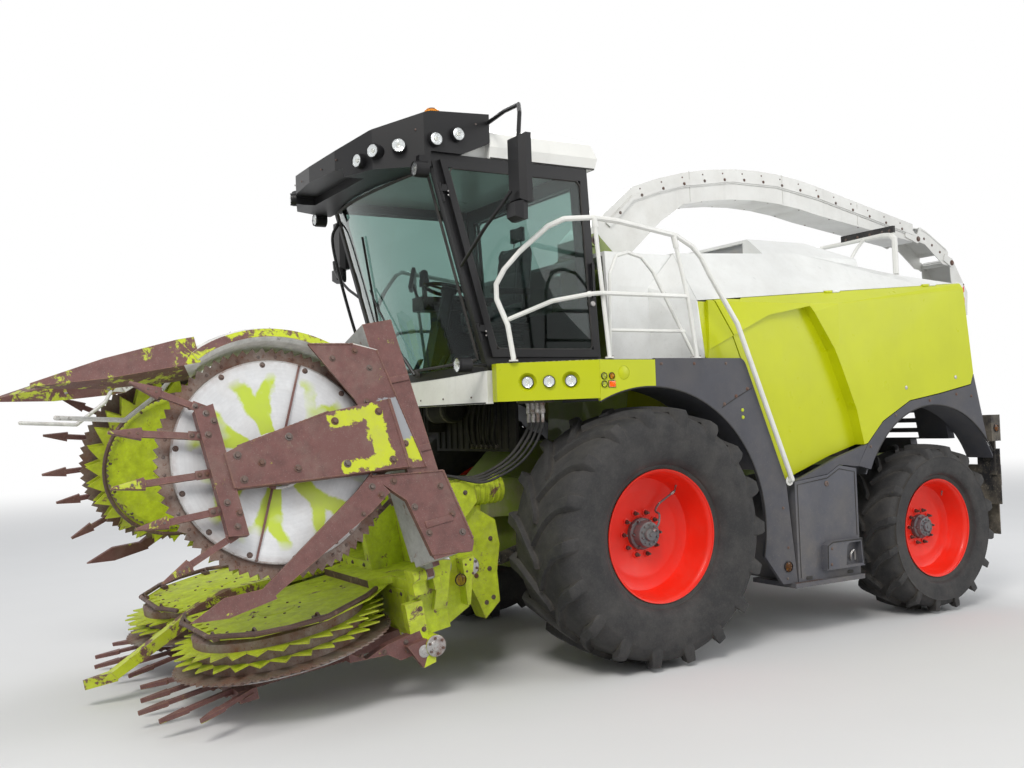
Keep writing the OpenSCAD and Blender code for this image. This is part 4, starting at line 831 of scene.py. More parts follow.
# Lamps
def lamp(bm, place, r):
    """Bezel, facetted bowl, bulb and domed lens; the place's Z axis is where it shines."""
    spin(bm, [(r * 1.02, -0.02), (r * 1.04, -0.012), (r * 1.04, 0.007), (r, 0.013), (r * 0.93, 0.013),
        (r * 0.9, 0.005)], place, 36, 0)
    spin(bm, [(r * 0.91, 0.006), (r * 0.74, 0.0035), (r * 0.45, 0.0018), (0, 0.0012)], place, 36, 1)
    spin(bm, [(0.013, 0.0015), (0.013, 0.006), (0.008, 0.009), (0, 0.01)], place, 14, 3)
    spin(bm, [(0, 0.0185), (r * 0.5, 0.0165), (r * 0.8, 0.013), (r * 0.93, 0.0095), (r * 0.93, 0.0065),
        (r * 0.8, 0.01), (r * 0.5, 0.0135), (0, 0.0155)], place, 36, 2)
    for k in range(8):
        turn = place @ Matrix.Rotation(k * pi / 4, 4, "Z")
        sweep(bm, [turn @ Vector((r * 0.9, 0, 0.0135)), turn @ Vector((r * 1.02, 0, 0.012))], 0.0035, 6, 0)


bm = bmesh.new()
for s in (1, -1):
    for x, y, z, ang in ((0.65, -1.795, 3.515, 18), (0.765, -1.735, 3.56, 30), (0.85, -1.6, 3.59, 62),
                         (0.925, -1.37, 3.64, 90), (0.925, -1.2, 3.69, 90)):
        d = Vector((s * sin(radians(ang)), -cos(radians(ang)), 0))
        lamp(bm, facing(pt(s * x, y, z) + d * 0.0255, d), 0.047)
    lamp(bm, facing(pt(s * 0.94, -1.5255, 3.425), (0, -1, 0)), 0.05)
    lamp(bm, facing(pt(s * 0.948, -1.2605, 2.115), (0, -1, 0)), 0.051)
    normal = Vector((s * 0.811, -0.585, 0))
    for x, y, sunk in ((1.133, -0.83, 0.0215), (1.219, -0.7105, -0.006), (1.305, -0.591, 0.0215)):
        lamp(bm, facing(pt(s * x, y, 1.985) - normal * sunk, normal), 0.04)
link("lamps", bm, ["black", "bowl", "lens", "bulb"], "machine")

# Small markers: cap of the side recess, marker lamps on the fender, side reflectors and tail lamps
bm = bmesh.new()
for s in (1, -1):
    # cap in the round recess of the side
    spin(bm, [(0.0465, 0.0), (0.0465, 0.0105), (0.045, 0.0115), (0, 0.0115)],
         outward(s, 1.4084, -0.23, 2.03), 48, 4)
    for y, z, mat in ((-0.398, 2.009, 1), (-0.334, 2.009, 3), (-0.398, 1.954, 1)):
        spot = outward(s, 1.4202, y, z)
        spin(bm, [(0.024, -0.001), (0.024, 0.006), (0.021, 0.009), (0.02, 0.004)], spot, 24, 0)
        spin(bm, [(0.0205, 0.004), (0.016, 0.009), (0, 0.0115)], spot, 24, mat)
    place = facing_side(s, 1.4202, -0.334, 1.954)
    beam(bm, (-0.031, -0.024, -0.001), (0.031, 0.024, 0.004), place, 0.002, 0)
    beam(bm, (-0.027, -0.02, 0.002), (0.027, 0.02, 0.0055), place, 0.001, 5)
    beam(bm, (-0.026, -0.019, 0.006), (0.026, 0.019, 0.01), place, 0.0015, 3)
    spot = outward(s, 1.4202, 1.235, 0.56)
    spin(bm, [(0.042, -0.001), (0.042, 0.008), (0.038, 0.01), (0.037, 0.006)], spot, 30, 0)
    spin(bm, [(0.037, 0.006), (0.028, 0.011), (0.012, 0.013), (0, 0.0135)], spot, 30, 3)
    rear = facing(pt(s * 1.385, 3.8502, 1.515), (0, 1, 0))
    beam(bm, (-0.05, -0.105, -0.001), (0.05, 0.105, 0.007), rear, 0.004, 0)
    for y0, y1, mat in ((-0.098, -0.036, 2), (-0.032, 0.03, 3), (0.034, 0.098, 1)):
        beam(bm, (-0.044, y0, 0.004), (0.044, y1, 0.014), rear, 0.005, mat)
        for k in range(6):
            beam(bm, (-0.038 + k * 0.0136, y0 + 0.006, 0.0125), (-0.032 + k * 0.0136, y1 - 0.006, 0.0155),
                rear, 0.0008, mat)
    edge = outward(s, 1.4402, 3.79, 1.515)
    spin(bm, [(0.036, -0.001), (0.036, 0.006), (0.032, 0.009)], edge, 26, 0)
    spin(bm, [(0.032, 0.006), (0.018, 0.011), (0, 0.012)], edge, 26, 3)
link("markers", bm, ["black", "lens", "redlens", "amber", "green", "bowl"], "machine")

# Beacon
bm = bmesh.new()
top = Matrix.Translation(pt(0, -0.91, 3.846))
spin(bm, [(0, 0), (0.06, 0), (0.062, 0.006), (0.036, 0.012), (0.028, 0.02), (0.027, 0.18), (0.04, 0.188),
    (0.07, 0.19), (0.073, 0.196), (0.073, 0.208), (0.066, 0.215), (0, 0.215)], top, 48, 0)
dome = [(0.064, 0.214)]
for k in range(12):
    a = 0.068 - 0.01 * (k / 12) ** 2
    z = 0.218 + k * 0.0068
    dome += [(a - 0.004, z), (a - 0.0015, z + 0.0034)]
dome += [(0.05, 0.303), (0.042, 0.313), (0.022, 0.3185), (0, 0.319)]
spin(bm, dome, top, 48, 1)
spin(bm, [(0.03, 0.222), (0.024, 0.232), (0.016, 0.26), (0.02, 0.284), (0, 0.288)], top, 24, 2)
o = link("beacon_lamp", bm, ["black", "amber", "bowl"], "machine")
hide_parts("beacon")

# Mirror glass, on the faces turned to the driver
bm = bmesh.new()
for s in (1, -1):
    for x0, x1, z0, z1, y in ((1.445, 1.605, 3.13, 3.53, -1.04), (1.462, 1.588, 3.01, 3.11, -1.07)):
        outline = []
        for cx, cz, a0 in ((x1 - 0.02, z1 - 0.02, 0), (x0 + 0.02, z1 - 0.02, 90),
                (x0 + 0.02, z0 + 0.02, 180), (x1 - 0.02, z0 + 0.02, 270)):
            for k in range(5):
                a = radians(a0 + k * 22.5)
                outline.append((cx + 0.02 * cos(a), cz + 0.02 * sin(a)))
        place = TO_ROW @ Matrix(((s, 0, 0, 0), (0, 0, 1, y), (0, 1, 0, 0), (0, 0, 0, 1)))
        plate(bm, outline, 0.0005, 0.004, place, 0.0012, 0)
        ring = [pt(s * a, y + 0.003, b) for a, b in outline]
        sweep(bm, ring + [ring[0]], 0.005, 8, 1)
link("mirror_faces", bm, ["mirror", "black"], "machine")


# Windscreen: points on its outer face, x across and u up the slope
def screen(x, u, out=0.0):
    radius = (0.84 ** 2 + 0.14 ** 2) / 0.28
    y = radius - 0.14 - sqrt(radius ** 2 - x * x) - out
    c, d = cos(SCREEN_LEAN), sin(SCREEN_LEAN)
    return pt(x, -1.0 + y * c - u * d, CAB_FLOOR_Z + y * d + u * c)


bm = bmesh.new()
xs = [-0.8 + 1.6 * k / 24 for k in range(25)]
for u in (0.085, 1.435):
    sweep(bm, [screen(x, u, 0.001) for x in xs], 0.011, 8, 0)
for x in (-0.815, 0.815):
    sweep(bm, [screen(x, 0.085 + 1.35 * k / 10, 0.001) for k in range(11)], 0.011, 8, 0)
# wiper: motor boss, arm, spring cover, blade and rubber
pivot = screen(0.1, 0.06, 0.004)
spin(bm, [(0.03, -0.01), (0.03, 0.014), (0.024, 0.022), (0, 0.024)],
    facing(pivot, screen(0.1, 0.06, 0.1) - pivot), 24, 0)
arm = [screen(0.1, 0.06, 0.03), screen(0.02, 0.2, 0.04), screen(-0.22, 0.62, 0.034),
    screen(-0.3, 0.76, 0.024)]
sweep(bm, catmull(arm, 6), 0.008, 8, 1)
sweep(bm, arm[:2], 0.014, 8, 1)
blade = [screen(-0.42 + 0.24 * k / 10, 0.36 + 0.8 * k / 10, 0.016) for k in range(11)]
sweep(bm, blade, 0.007, 8, 1)
sweep(bm, [screen(-0.42 + 0.24 * k / 10, 0.36 + 0.8 * k / 10, 0.007) for k in range(11)], 0.004, 6, 0)
# grab rail and aerial rod ahead of the right front corner
sweep(bm, catmull([screen(-0.86, 0.02, 0.02), screen(-0.93, 0.1, 0.1), screen(-0.95, 0.6, 0.13),
    screen(-0.93, 1.2, 0.11), screen(-0.86, 1.36, 0.02)], 8), 0.013, 10, 1)
for u in (0.02, 1.36):
    spin(bm, [(0.026, -0.006), (0.026, 0.006), (0.014, 0.01)],
        facing(screen(-0.86, u, 0.01), screen(-0.86, u, 0.1) - screen(-0.86, u)), 18, 1)
link("screen_trim", bm, ["rubber", "black"], "machine")


# Door: rubber seal round its glass, lock and hinge screws
def ring_line(pts):
    out = []
    for a, b in zip(pts, pts[1:] + pts[:1]):
        out += [a.lerp(b, 0.03), a.lerp(b, 0.5), a.lerp(b, 0.97)]
    return out + [out[0]]


bm = bmesh.new()
window = [(-0.127, 2.225), (-0.94, 2.225), (-1.275, 3.46), (-0.19, 3.46)]
sweep(bm, ring_line(row(*[(0.9225, y, z) for y, z in window])), 0.009, 8, 0)
for z in (2.3, 3.25):
    for k in (0, 1):
        screw(bm, facing(pt(0.9292, -1.0 - (z - CAB_FLOOR_Z) * 0.27 + 0.035, z + 0.02 + k * 0.028),
            (1, 0, 0)), 0.006, 0.005, 1, False)
lock = facing(pt(0.9312, -0.121, 2.56), (1, 0, 0))
spin(bm, [(0.02, 0), (0.02, 0.008), (0.015, 0.012), (0.006, 0.012), (0.005, 0.009), (0, 0.009)], lock, 20,
    1)
link("door_trim", bm, ["rubber", "steel"], "door")

bm = bmesh.new()
side_win = [(-0.112, 2.185), (-0.96, 2.185), (-1.305, 3.49), (-0.18, 3.49)]
sweep(bm, ring_line(row(*[(-0.9, y, z) for y, z in side_win])), 0.01, 8, 0)
rear_win = row((-0.75, -0.062, 2.55), (0.75, -0.062, 2.55), (0.75, -0.105, 3.45), (-0.75, -0.105, 3.45))
sweep(bm, ring_line(rear_win), 0.011, 8, 0)
link("window_seals", bm, ["rubber"], "machine")


# Rotors: bolts, rivets of the knives, bright rings and the drive cap
for kind, frm, x in (("centre", HEADER, ROTOR_X[0]), ("wing", WING, ROTOR_X[1])):
    for s, side in SIDES:
        bm = bmesh.new()
        base = on(frm, s) @ at(x, 0, 0)
        screw_ring(bm, base, 14, 0.572, -0.106, 0.011, 0.009, 0.25, True)
        # bright bevel round the dish, and the welded ring inside it
        spin(bm, [(0.586, -0.104), (0.59, -0.1085), (0.597, -0.1085), (0.601, -0.1), (0.597, -0.097)], base,
            72, 0)
        spin(bm, [(0.15, -0.0845), (0.15, -0.0885), (0.165, -0.089), (0.172, -0.085)], base, 48, 0)
        # knife segments riveted under the ring
        for i in range(12):
            turn = base @ around(i + 0.5, 12)
            for da in (-0.16, 0.0, 0.16):
                spot = turn @ Matrix.Rotation(da, 4, "Z")
                rivet(bm, flat(spot, 0.63, 0, -0.078), 0.01, 0.004, 1)
        # bolts of the toothed discs
        screw_ring(bm, base, 14, 0.5, 0.129, 0.01, 0.008)
        # cap of the drive on top of the drum
        spin(bm, [(0.19, 0.138), (0.19, 0.146), (0.182, 0.15), (0.12, 0.15), (0.11, 0.158), (0, 0.16)],
            base, 48, 2)
        screw_ring(bm, base, 8, 0.155, 0.15, 0.009, 0.008)
        link(f"rotor_bolts_{kind}_{side}", bm, ["steel", "nut", "tool_green"], f"{kind}_rotor_{side}", 35)

# Header arms: bolts, weld beads and lifter tips
LIFTERS = (((0.34, -0.335), (0.588, -0.703)), ((0.203, -0.385), (0.337, -0.873)),
    ((-0.007, -0.4), (0.038, -0.928)), ((-0.218, -0.381), (-0.203, -0.864)),
    ((-0.35, -0.33), (-0.513, -0.802)))


def bead(bm, points, r=0.006, mat=0):
    """A weld bead with small waves."""
    line = []
    for a, b in zip(points, points[1:]):
        a, b = Vector(a), Vector(b)
        n = max(2, int((b - a).length / 0.012))
        line += [a.lerp(b, k / n) for k in range(n)]
    line.append(Vector(points[-1]))
    sweep(bm, line, [r * (1 + 0.18 * sin(k * 2.4)) for k in range(len(line))], 6, mat)


for kind, frm, x in (("centre", HEADER, ROTOR_X[0]), ("wing", WING, ROTOR_X[1])):
    for s, side in SIDES:
        bm = bmesh.new()
        base = on(frm, s) @ at(x, 0, 0)
        screws(bm, base, ((-0.09, -0.26), (0.05, -0.26), (-0.02, -0.14), (-0.1, 0.05), (0.09, 0.05),
            (-0.14, 0.34), (0.12, 0.34), (-0.18, 0.62), (0.12, 0.62)), -0.245, 0.015, 0.012)
        screws(bm, base, ((-0.33, -0.36), (-0.19, -0.38), (0.2, -0.38), (0.32, -0.36), (-0.26, -0.33),
            (0.27, -0.33)), -0.235, 0.013, 0.01)
        for pts in (((-0.124, -0.322, -0.243), (0.078, -0.322, -0.243)),
                ((-0.246, 0.704, -0.246), (0.183, 0.704, -0.246)),
                ((0.101, -0.245, -0.238), (0.184, 0.32, -0.243)),
                ((-0.125, -0.31, -0.238), (-0.201, 0.32, -0.243))):
            bead(bm, [base @ Vector(p) for p in pts], 0.006, 2)
        # lifters: clamp, two bolts and a ground, hardened tip
        for a, b in LIFTERS:
            a, b = Vector((*a, 0)), Vector((*b, 0))
            d = (b - a).normalized()
            turn = Matrix.Rotation(atan2(d.y, d.x), 4, "Z")
            spot = base @ Matrix.Translation(a) @ turn
            length = (b - a).length
            beam(bm, (0.015, -0.026, -0.197), (0.095, 0.026, -0.189), spot, 0.003, 2)
            for k in (0.035, 0.075):
                screw(bm, flat(spot, k, 0, -0.197), 0.01, 0.008, 1)
            for k in (length - 0.15, length - 0.105):
                screw(bm, flat(spot, k, 0, -0.19), 0.0085, 0.006, 0)
            tip = [(length - 0.175, -0.02), (length - 0.165, -0.031), (length - 0.004, -0.006),
                (length, 0.0), (length - 0.004, 0.006), (length - 0.165, 0.031), (length - 0.175, 0.02)]
            plate(bm, tip, -0.1935, -0.1895, spot, 0.001, 3)
        body = "header" if kind == "centre" else f"wing_{side}"
        link(f"arm_bolts_{kind}_{side}", bm, ["nut", "nut", "brown", "nose"], body, 35)


# Header frame: hub rings with their bolts, cover plates, edge rails and rivets
bm = bmesh.new()
for s in (1, -1):
    head = on(HEADER, s)
    for (x, y, z), (r, n, h) in (((1.269, 0.77, -0.23), (0.068, 6, 0.01)),
            ((1.14, 0.948, 0.216), (0.092, 8, 0.018)), ((1.17, 1.156, 0.161), (0.062, 6, 0.018)),
            ((1.262, 0.69, -0.24), (0.04, 0, 0.006))):
        spot = head @ at(x, y, z) @ QUARTER_Y
        spin(bm, [(r * 0.98, -0.004), (r * 0.98, h * 0.5), (r * 0.9, h * 0.7), (r * 0.52, h * 0.7),
            (r * 0.48, h), (r * 0.2, h * 1.1), (0, h * 1.1)], spot, 40, 0)
        for i in range(n):
            turn = spot @ around(i, n)
            screw(bm, turn @ at(r * 0.72, 0, h * 0.7), 0.009, 0.008, 1, False)
    # side frame's bolts
    for y, z in ((0.3, -0.15), (0.45, -0.175), (0.6, -0.215), (0.6, -0.16), (0.735, -0.12), (0.735, 0.01)):
        screw(bm, head @ at(1.215, y, z) @ QUARTER_Y, 0.011, 0.01, 1)
    # cover plates on the front of the cross beam
    for x0, x1 in ((0.16, 0.56), (0.7, 1.08)):
        front = head @ Matrix(((1, 0, 0, 0), (0, 0, -1, 0.706), (0, 1, 0, 0), (0, 0, 0, 1)))
        beam(bm, (x0, -0.145, -0.001), (x1, 0.125, 0.005), front, 0.003, 2)
        for px, pz in ((x0 + 0.03, -0.115), (x1 - 0.03, -0.115), (x0 + 0.03, 0.095), (x1 - 0.03, 0.095),
                ((x0 + x1) / 2, 0.095)):
            screw(bm, front @ at(px, pz, 0.005), 0.009, 0.008, 1)
        rear = head @ Matrix(((1, 0, 0, 0), (0, 0, 1, 0.949), (0, 1, 0, 0), (0, 0, 0, 1)))
        beam(bm, (x0, -0.135, -0.001), (x1, 0.155, 0.006), rear, 0.003, 2)
        for px, pz in ((x0 + 0.03, -0.105), (x1 - 0.03, -0.105), (x0 + 0.03, 0.125), (x1 - 0.03, 0.125)):
            screw(bm, rear @ at(px, pz, 0.006), 0.01, 0.009, 1)
    # rivets and a folded lip along the rotor cover's edge
    for px, py in ((0.2, -0.33), (0.34, -0.39), (0.52, -0.39), (0.7, -0.39), (0.88, -0.37), (1.02, -0.29),
            (1.14, -0.2), (1.21, -0.02), (1.21, 0.14), (1.14, 0.3), (1.02, 0.48), (0.3, 0.48), (0.6, 0.48)):
        rivet(bm, head @ at(px, py, 0.154), 0.01, 0.006, 1)
    edge = [(0.1, -0.42), (0.34, -0.49), (0.94, -0.48), (1.2, -0.29), (1.32, 0.1), (1.15, 0.45)]
    sweep(bm, [head @ Vector((px, py, 0.152)) for px, py in edge], 0.006, 6, 2)
    # saddle clips that hold the bent guard
    for px, py in ((1.26, 0.06), (1.15, -0.29), (0.942, -0.478), (0.342, -0.488)):
        clip = [head @ Vector((px + dx, py + 0.01, 0.15 + 0.045 * cos(dx * 26))) for dx in (-0.05, -0.03,
            -0.015, 0, 0.015, 0.03, 0.05)]
        sweep(bm, clip, 0.007, 6, 1)
        for dx in (-0.048, 0.048):
            screw(bm, head @ at(px + dx, py + 0.018, 0.172), 0.008, 0.007, 1)
    # gear drive: bolts and breather
    for zx, zy, zz in ((0.865, 1.02, 0.25), (0.865, 1.02, 0.42), (0.865, 1.02, 0.6), (0.865, 1.2, 0.62),
            (0.865, 1.38, 0.58), (0.865, 1.3, 0.46), (0.835, 1.33, 0.2), (0.835, 1.52, 0.22),
            (0.835, 1.36, 0.0), (0.835, 1.47, 0.02), (0.835, 1.4, -0.2), (0.835, 1.46, -0.18)):
        screw(bm, head @ at(zx - 0.005, zy, zz) @ QUARTER_Y, 0.011, 0.01, 1)
    spot = head @ at(0.745, 1.25, 0.668)
    spin(bm, [(0.02, -0.02), (0.02, 0.012), (0.014, 0.016), (0.014, 0.04), (0.018, 0.044), (0.016, 0.058),
        (0, 0.062)], spot, 20, 1)
    # ribs of the drive stub
    a, b = head @ Vector((0.745, 1.4, 0.5695)), head @ Vector((0.745, 1.69, 0.5355))
    d = (b - a).normalized()
    for k in range(7):
        spot = facing(a.lerp(b, 0.06 + 0.14 * k), d)
        spin(bm, [(0.096, -0.012), (0.1045, -0.004), (0.1045, 0.004), (0.096, 0.012)], spot, 40, 2)
# adjusting studs on the attachment frame
for x in (-0.58, 0.58):
    for z in (0.3, 0.44, 0.58):
        spot = HEADER @ at(x, 0.949, z) @ BACK_X
        screw(bm, spot, 0.014, 0.012, 1)
        spin(bm, [(0.008, 0.01), (0.008, 0.034), (0.0065, 0.037), (0, 0.037)], spot, 12, 0)
for x in (-0.5, -0.3, -0.1, 0.1, 0.3, 0.5):
    for z in (0.228, 0.66):
        screw(bm, HEADER @ at(x, 0.706, z) @ QUARTER_X, 0.01, 0.009, 1)
link("header_bolts", bm, ["steel", "nut", "tool_green"], "header", 35)

# Reflector on the header's corner
bm = bmesh.new()
for s in (1, -1):
    spot = on(HEADER, s) @ at(1.19, 1.06, 0.1) @ QUARTER_Y
    spin(bm, [(0.04, -0.002), (0.04, 0.008), (0.036, 0.011), (0.035, 0.007)], spot, 30, 0)
    spin(bm, [(0.035, 0.007), (0.02, 0.012), (0, 0.0135)], spot, 30, 1)
link("header_reflectors", bm, ["black", "amber"], "header")

# Wing plates: bolts, weld beads, angle irons and washers, and the shields' rivets and clamps
for s, side in SIDES:
    wing = on(WING, s)
    bm = bmesh.new()
    screws(bm, wing, ((1.4, 0.93), (1.52, 0.9), (1.7, 0.88), (1.8, 0.6), (1.45, 0.72), (1.62, 0.68),
        (1.8, 0.46), (1.74, 0.5)), -0.205, 0.014, 0.011)
    screws(bm, wing, ((2.62, 0.6), (2.5, 0.66), (2.2, 0.7), (2.0, 0.74), (2.0, 0.64), (2.3, 0.58),
        (2.6, 0.45)), -0.216, 0.013, 0.01)
    for pts in (((1.345, 0.983), (1.786, 0.929)), ((1.786, 0.929), (1.86, 0.473))):
        line = [wing @ Vector((*a, -0.206)) for a in pts]
        bead(bm, line, 0.007, 2)
    for pts in (((1.835, 0.824), (2.6, 0.74)), ((2.664, 0.602), (2.713, 0.328))):
        bead(bm, [wing @ Vector((*a, -0.2165)) for a in pts], 0.006, 2)
    # angle irons behind the plates
    for x in (1.5, 1.95, 2.4):
        beam(bm, (x - 0.02, 0.712, -0.212), (x + 0.02, 0.896, -0.2), wing, 0.003, 2)
    # washers of the hinge pin
    for y in (0.8465, 0.8):
        spot = wing @ at(FOLD.x, y, FOLD.z) @ BACK_X
        spin(bm, [(0.018, -0.001), (0.041, -0.001), (0.041, 0.0008), (0.018, 0.0008)], spot, 36, 0)
    for y in (0.16, 0.26, 0.36):
        screw(bm, flat(wing, 1.5 + (y - 0.16) * 0.8, y, -0.205), 0.01, 0.009, 1)
    link(f"wing_bolts_{side}", bm, ["steel", "nut", "brown"], f"wing_{side}", 35)
    # wing shield: rivets along its lip, clamps of its bent guard
    bm = bmesh.new()
    for i in range(22):
        a = radians(-24 + 66 * i / 21)
        r = 0.735
        spot = wing @ at(2.1 + r * cos(a), r * sin(a), 0.1552)
        rivet(bm, spot, 0.008, 0.004, 0)
    for x, y, z in ((2.75, -0.42, 0.12), (2.76, -0.7, 0.07)):
        screw(bm, wing @ at(x + 0.03, y, z), 0.009, 0.008, 0)
    strap = (0.7955, -0.118), (0.7975, -0.02), (0.7975, 0.078), (0.762, 0.15), (0.712, 0.1615)
    for a in (-22, -5, 12, 29):
        c, d = cos(radians(a)), sin(radians(a))
        pts = [wing @ Vector((2.1 + r * c, r * d, z)) for r, z in strap]
        sweep(bm, pts, 0.0055, 8, 1)
    link(f"shield_rivets_{side}", bm, ["steel", "shield"], f"wing_{side}")

# Chute: rail bolts, seams, hinge pins and the stripes of the end flap
CHUTE_R, CHUTE_TOP_Y, CHUTE_BEND_Y = 3.946, 2.29, 3.09
CHUTE_ARC_Z, CHUTE_SLOPE, CHUTE_TAPER = -0.016, 0.2, 0.07
CHUTE_SEAMS = (1.5, 2.62, 3.62)


def back_z(y):
    """Height of the chute's back: an arc, then a straight slope."""
    if y < CHUTE_BEND_Y:
        return CHUTE_ARC_Z + sqrt(CHUTE_R ** 2 - (y - CHUTE_TOP_Y) ** 2)
    return CHUTE_ARC_Z + sqrt(CHUTE_R ** 2 - 0.8 ** 2) - CHUTE_SLOPE * (y - CHUTE_BEND_Y)


def thinner(y):
    """What the chute's side has lost in height at y."""
    return max(0, y - CHUTE_BEND_Y) * CHUTE_TAPER


bm = bmesh.new()
for s in (1, -1):
    for k in range(16):
        y = 0.72 + 0.235 * k
        z = back_z(y) - 0.1
        if y < 0.86:
            z = 3.3155 + (y - 0.595) * 0.92
        spot = outward(s, 0.198, y, z)
        screw(bm, spot, 0.009, 0.007, 1)
    for k in range(15):
        y = 0.95 + 0.235 * k
        rivet(bm, facing(pt(s * 0.18, y, back_z(y) - 0.04), (s, 0, 0)), 0.007, 0.004, 1)
    for y in CHUTE_SEAMS:
        z = back_z(y)
        pts = [pt(s * 0.1812, y, z + dz) for dz in (-0.002, -0.04, -0.066)]
        sweep(bm, pts, 0.0045, 6, 0)
        pts = [pt(s * 0.1812, y, z + dz) for dz in (-0.134, -0.18, -0.262 + thinner(y))]
        sweep(bm, pts, 0.0045, 6, 0)
    # pivot pin of the lift, with its washer and clip
    spot = outward(s, 0.2305, 0.43, 3.18)
    spin(bm, [(0.04, -0.001), (0.04, 0.004), (0.026, 0.006), (0.026, 0.018), (0.022, 0.021), (0, 0.021)],
        spot, 30, 1)
for y in CHUTE_SEAMS:
    z = back_z(y)
    sweep(bm, [pt(x, y, z + 0.0008) for x in (-0.18, -0.06, 0.06, 0.18)], 0.0045, 6, 0)
for y in (1.65, 2.05, 2.45, 2.85, 3.25, 3.65, 4.05):
    for x in (-0.155, 0.155):
        z = back_z(y) - 0.275 + thinner(y)
        rivet(bm, facing(pt(x, y, z), (0, 0, -1)), 0.008, 0.004, 1)
link("chute_bolts", bm, ["chute", "nut"], "chute")

PIN = [(0.028, -0.001), (0.028, 0.003), (0.018, 0.004), (0.018, 0.012), (0, 0.013)]
bm = bmesh.new()
for s in (1, -1):
    spin(bm, PIN, outward(s, 0.1932, 4.49, 3.43), 24, 0)
link("flap_pins", bm, ["nut"], "chute")
bm = bmesh.new()
for s in (1, -1):
    spin(bm, PIN, outward(s, 0.1902, 5.01, 3.21), 24, 0)
    for y, z in ((4.6, 3.44), (4.72, 3.38), (4.84, 3.315)):
        screw(bm, outward(s, 0.178, y, z), 0.009, 0.007, 0)
    sweep(bm, row((s * 0.1785, 4.56, 3.53), (s * 0.1785, 4.64, 3.505), (s * 0.1785, 4.93, 3.345)), 0.006, 6,
        1)
link("flap_trim", bm, ["nut", "chute"], "chute_flap")

# red and white stripes fixed to the faces of the end flap
def stripes(bm, place, w, h, n):
    beam(bm, (-w / 2 - 0.004, -h / 2 - 0.004, -0.001), (w / 2 + 0.004, h / 2 + 0.004, 0.0012), place,
        0.0004, 1)
    step = (w + h) / n
    for k in range(n):
        lo, hi = -w / 2 - h / 2 + k * step, -w / 2 - h / 2 + (k + 1) * step
        corners = (lo, -h / 2), (hi, -h / 2), (hi, h / 2), (lo, h / 2)
        poly = clip([(c + d + h / 2, d) for c, d in corners], -w / 2, w / 2)
        if len(poly) > 2:
            plate(bm, poly, 0.001, 0.0022, place, 0, k % 2)


def clip(poly, lo, hi):
    """Keeps the part of the outline between two values of x."""
    for sign, lim in ((1, lo), (-1, -hi)):
        res = []
        for a, b in zip(poly, poly[1:] + poly[:1]):
            ia, ib = sign * a[0] >= lim - 1e-9, sign * b[0] >= lim - 1e-9
            if ia:
                res.append(a)
            if ia != ib:
                t = (sign * lim - a[0]) / (b[0] - a[0])
                res.append((sign * lim, a[1] + t * (b[1] - a[1])))
        poly = res
    return poly


bm = bmesh.new()
for s in (1, -1):
    spot = facing_side(s, 0.1762, 5.142, 2.85)
    stripes(bm, spot, 0.13, 0.3, 7)
    for dy, dz in ((-0.058, -0.14), (0.058, -0.14), (-0.058, 0.14), (0.058, 0.14)):
        screw(bm, spot @ at(dy, dz, 0.002), 0.006, 0.005, 2)
lean = atan2(5.262 - 5.242, 2.91 - 2.67)
face = Matrix(((-1, 0, 0, 0), (0, 0, 1, 0), (0, 1, 0, 0), (0, 0, 0, 1)))
spot = TO_ROW @ at(0, 5.2516, 2.778) @ Matrix.Rotation(-lean, 4, "X") @ face
stripes(bm, spot, 0.3, 0.19, 7)
link("end_stripes", bm, ["stripe_red", "white", "nut"], "chute_tip")


# Machine trim: closing strips ahead of the covers, arch edges, screws and side box fittings
bm = bmesh.new()
for s in (1, -1):
    rows = []
    for t in [k / 12 for k in range(13)]:
        z = 2.15 + 0.42 * t
        x0 = 1.2565 if z < 2.18 else 1.2565 + (1.1985 - 1.2565) * (z - 2.18) / 0.394
        x1 = 1.283 if z < 2.18 else 1.283 + (1.208 - 1.283) * (z - 2.18) / 0.39
        y1 = 0.655 + 0.083 * (z - 2.135) / 0.485
        rows.append([pt(s * x0, 0.6445, z), pt(s * (x0 * 0.6 + x1 * 0.4 - 0.003), (0.6445 + y1) / 2, z),
                     pt(s * (x1 - 0.01), y1 + 0.006, z)])
    grid = [[bm.verts.new(p) for p in r] for r in rows]
    back = [[bm.verts.new(p - Vector((s * 0.006, 0, 0))) for p in r] for r in rows]
    for g, flip in ((grid, False), (back, True)):
        for a, b in zip(g, g[1:]):
            for k in range(2):
                quad = (a[k], a[k + 1], b[k + 1], b[k])
                bm.faces.new(quad[::-1] if flip else quad)
    for k in (0, 2):
        for i in range(12):
            bm.faces.new((grid[i][k], grid[i + 1][k], back[i + 1][k], back[i][k]))
    for i in (0, 12):
        for k in range(2):
            bm.faces.new((grid[i][k], grid[i][k + 1], back[i][k + 1], back[i][k]))
link("cover_lips", bm, ["lid"], "machine")

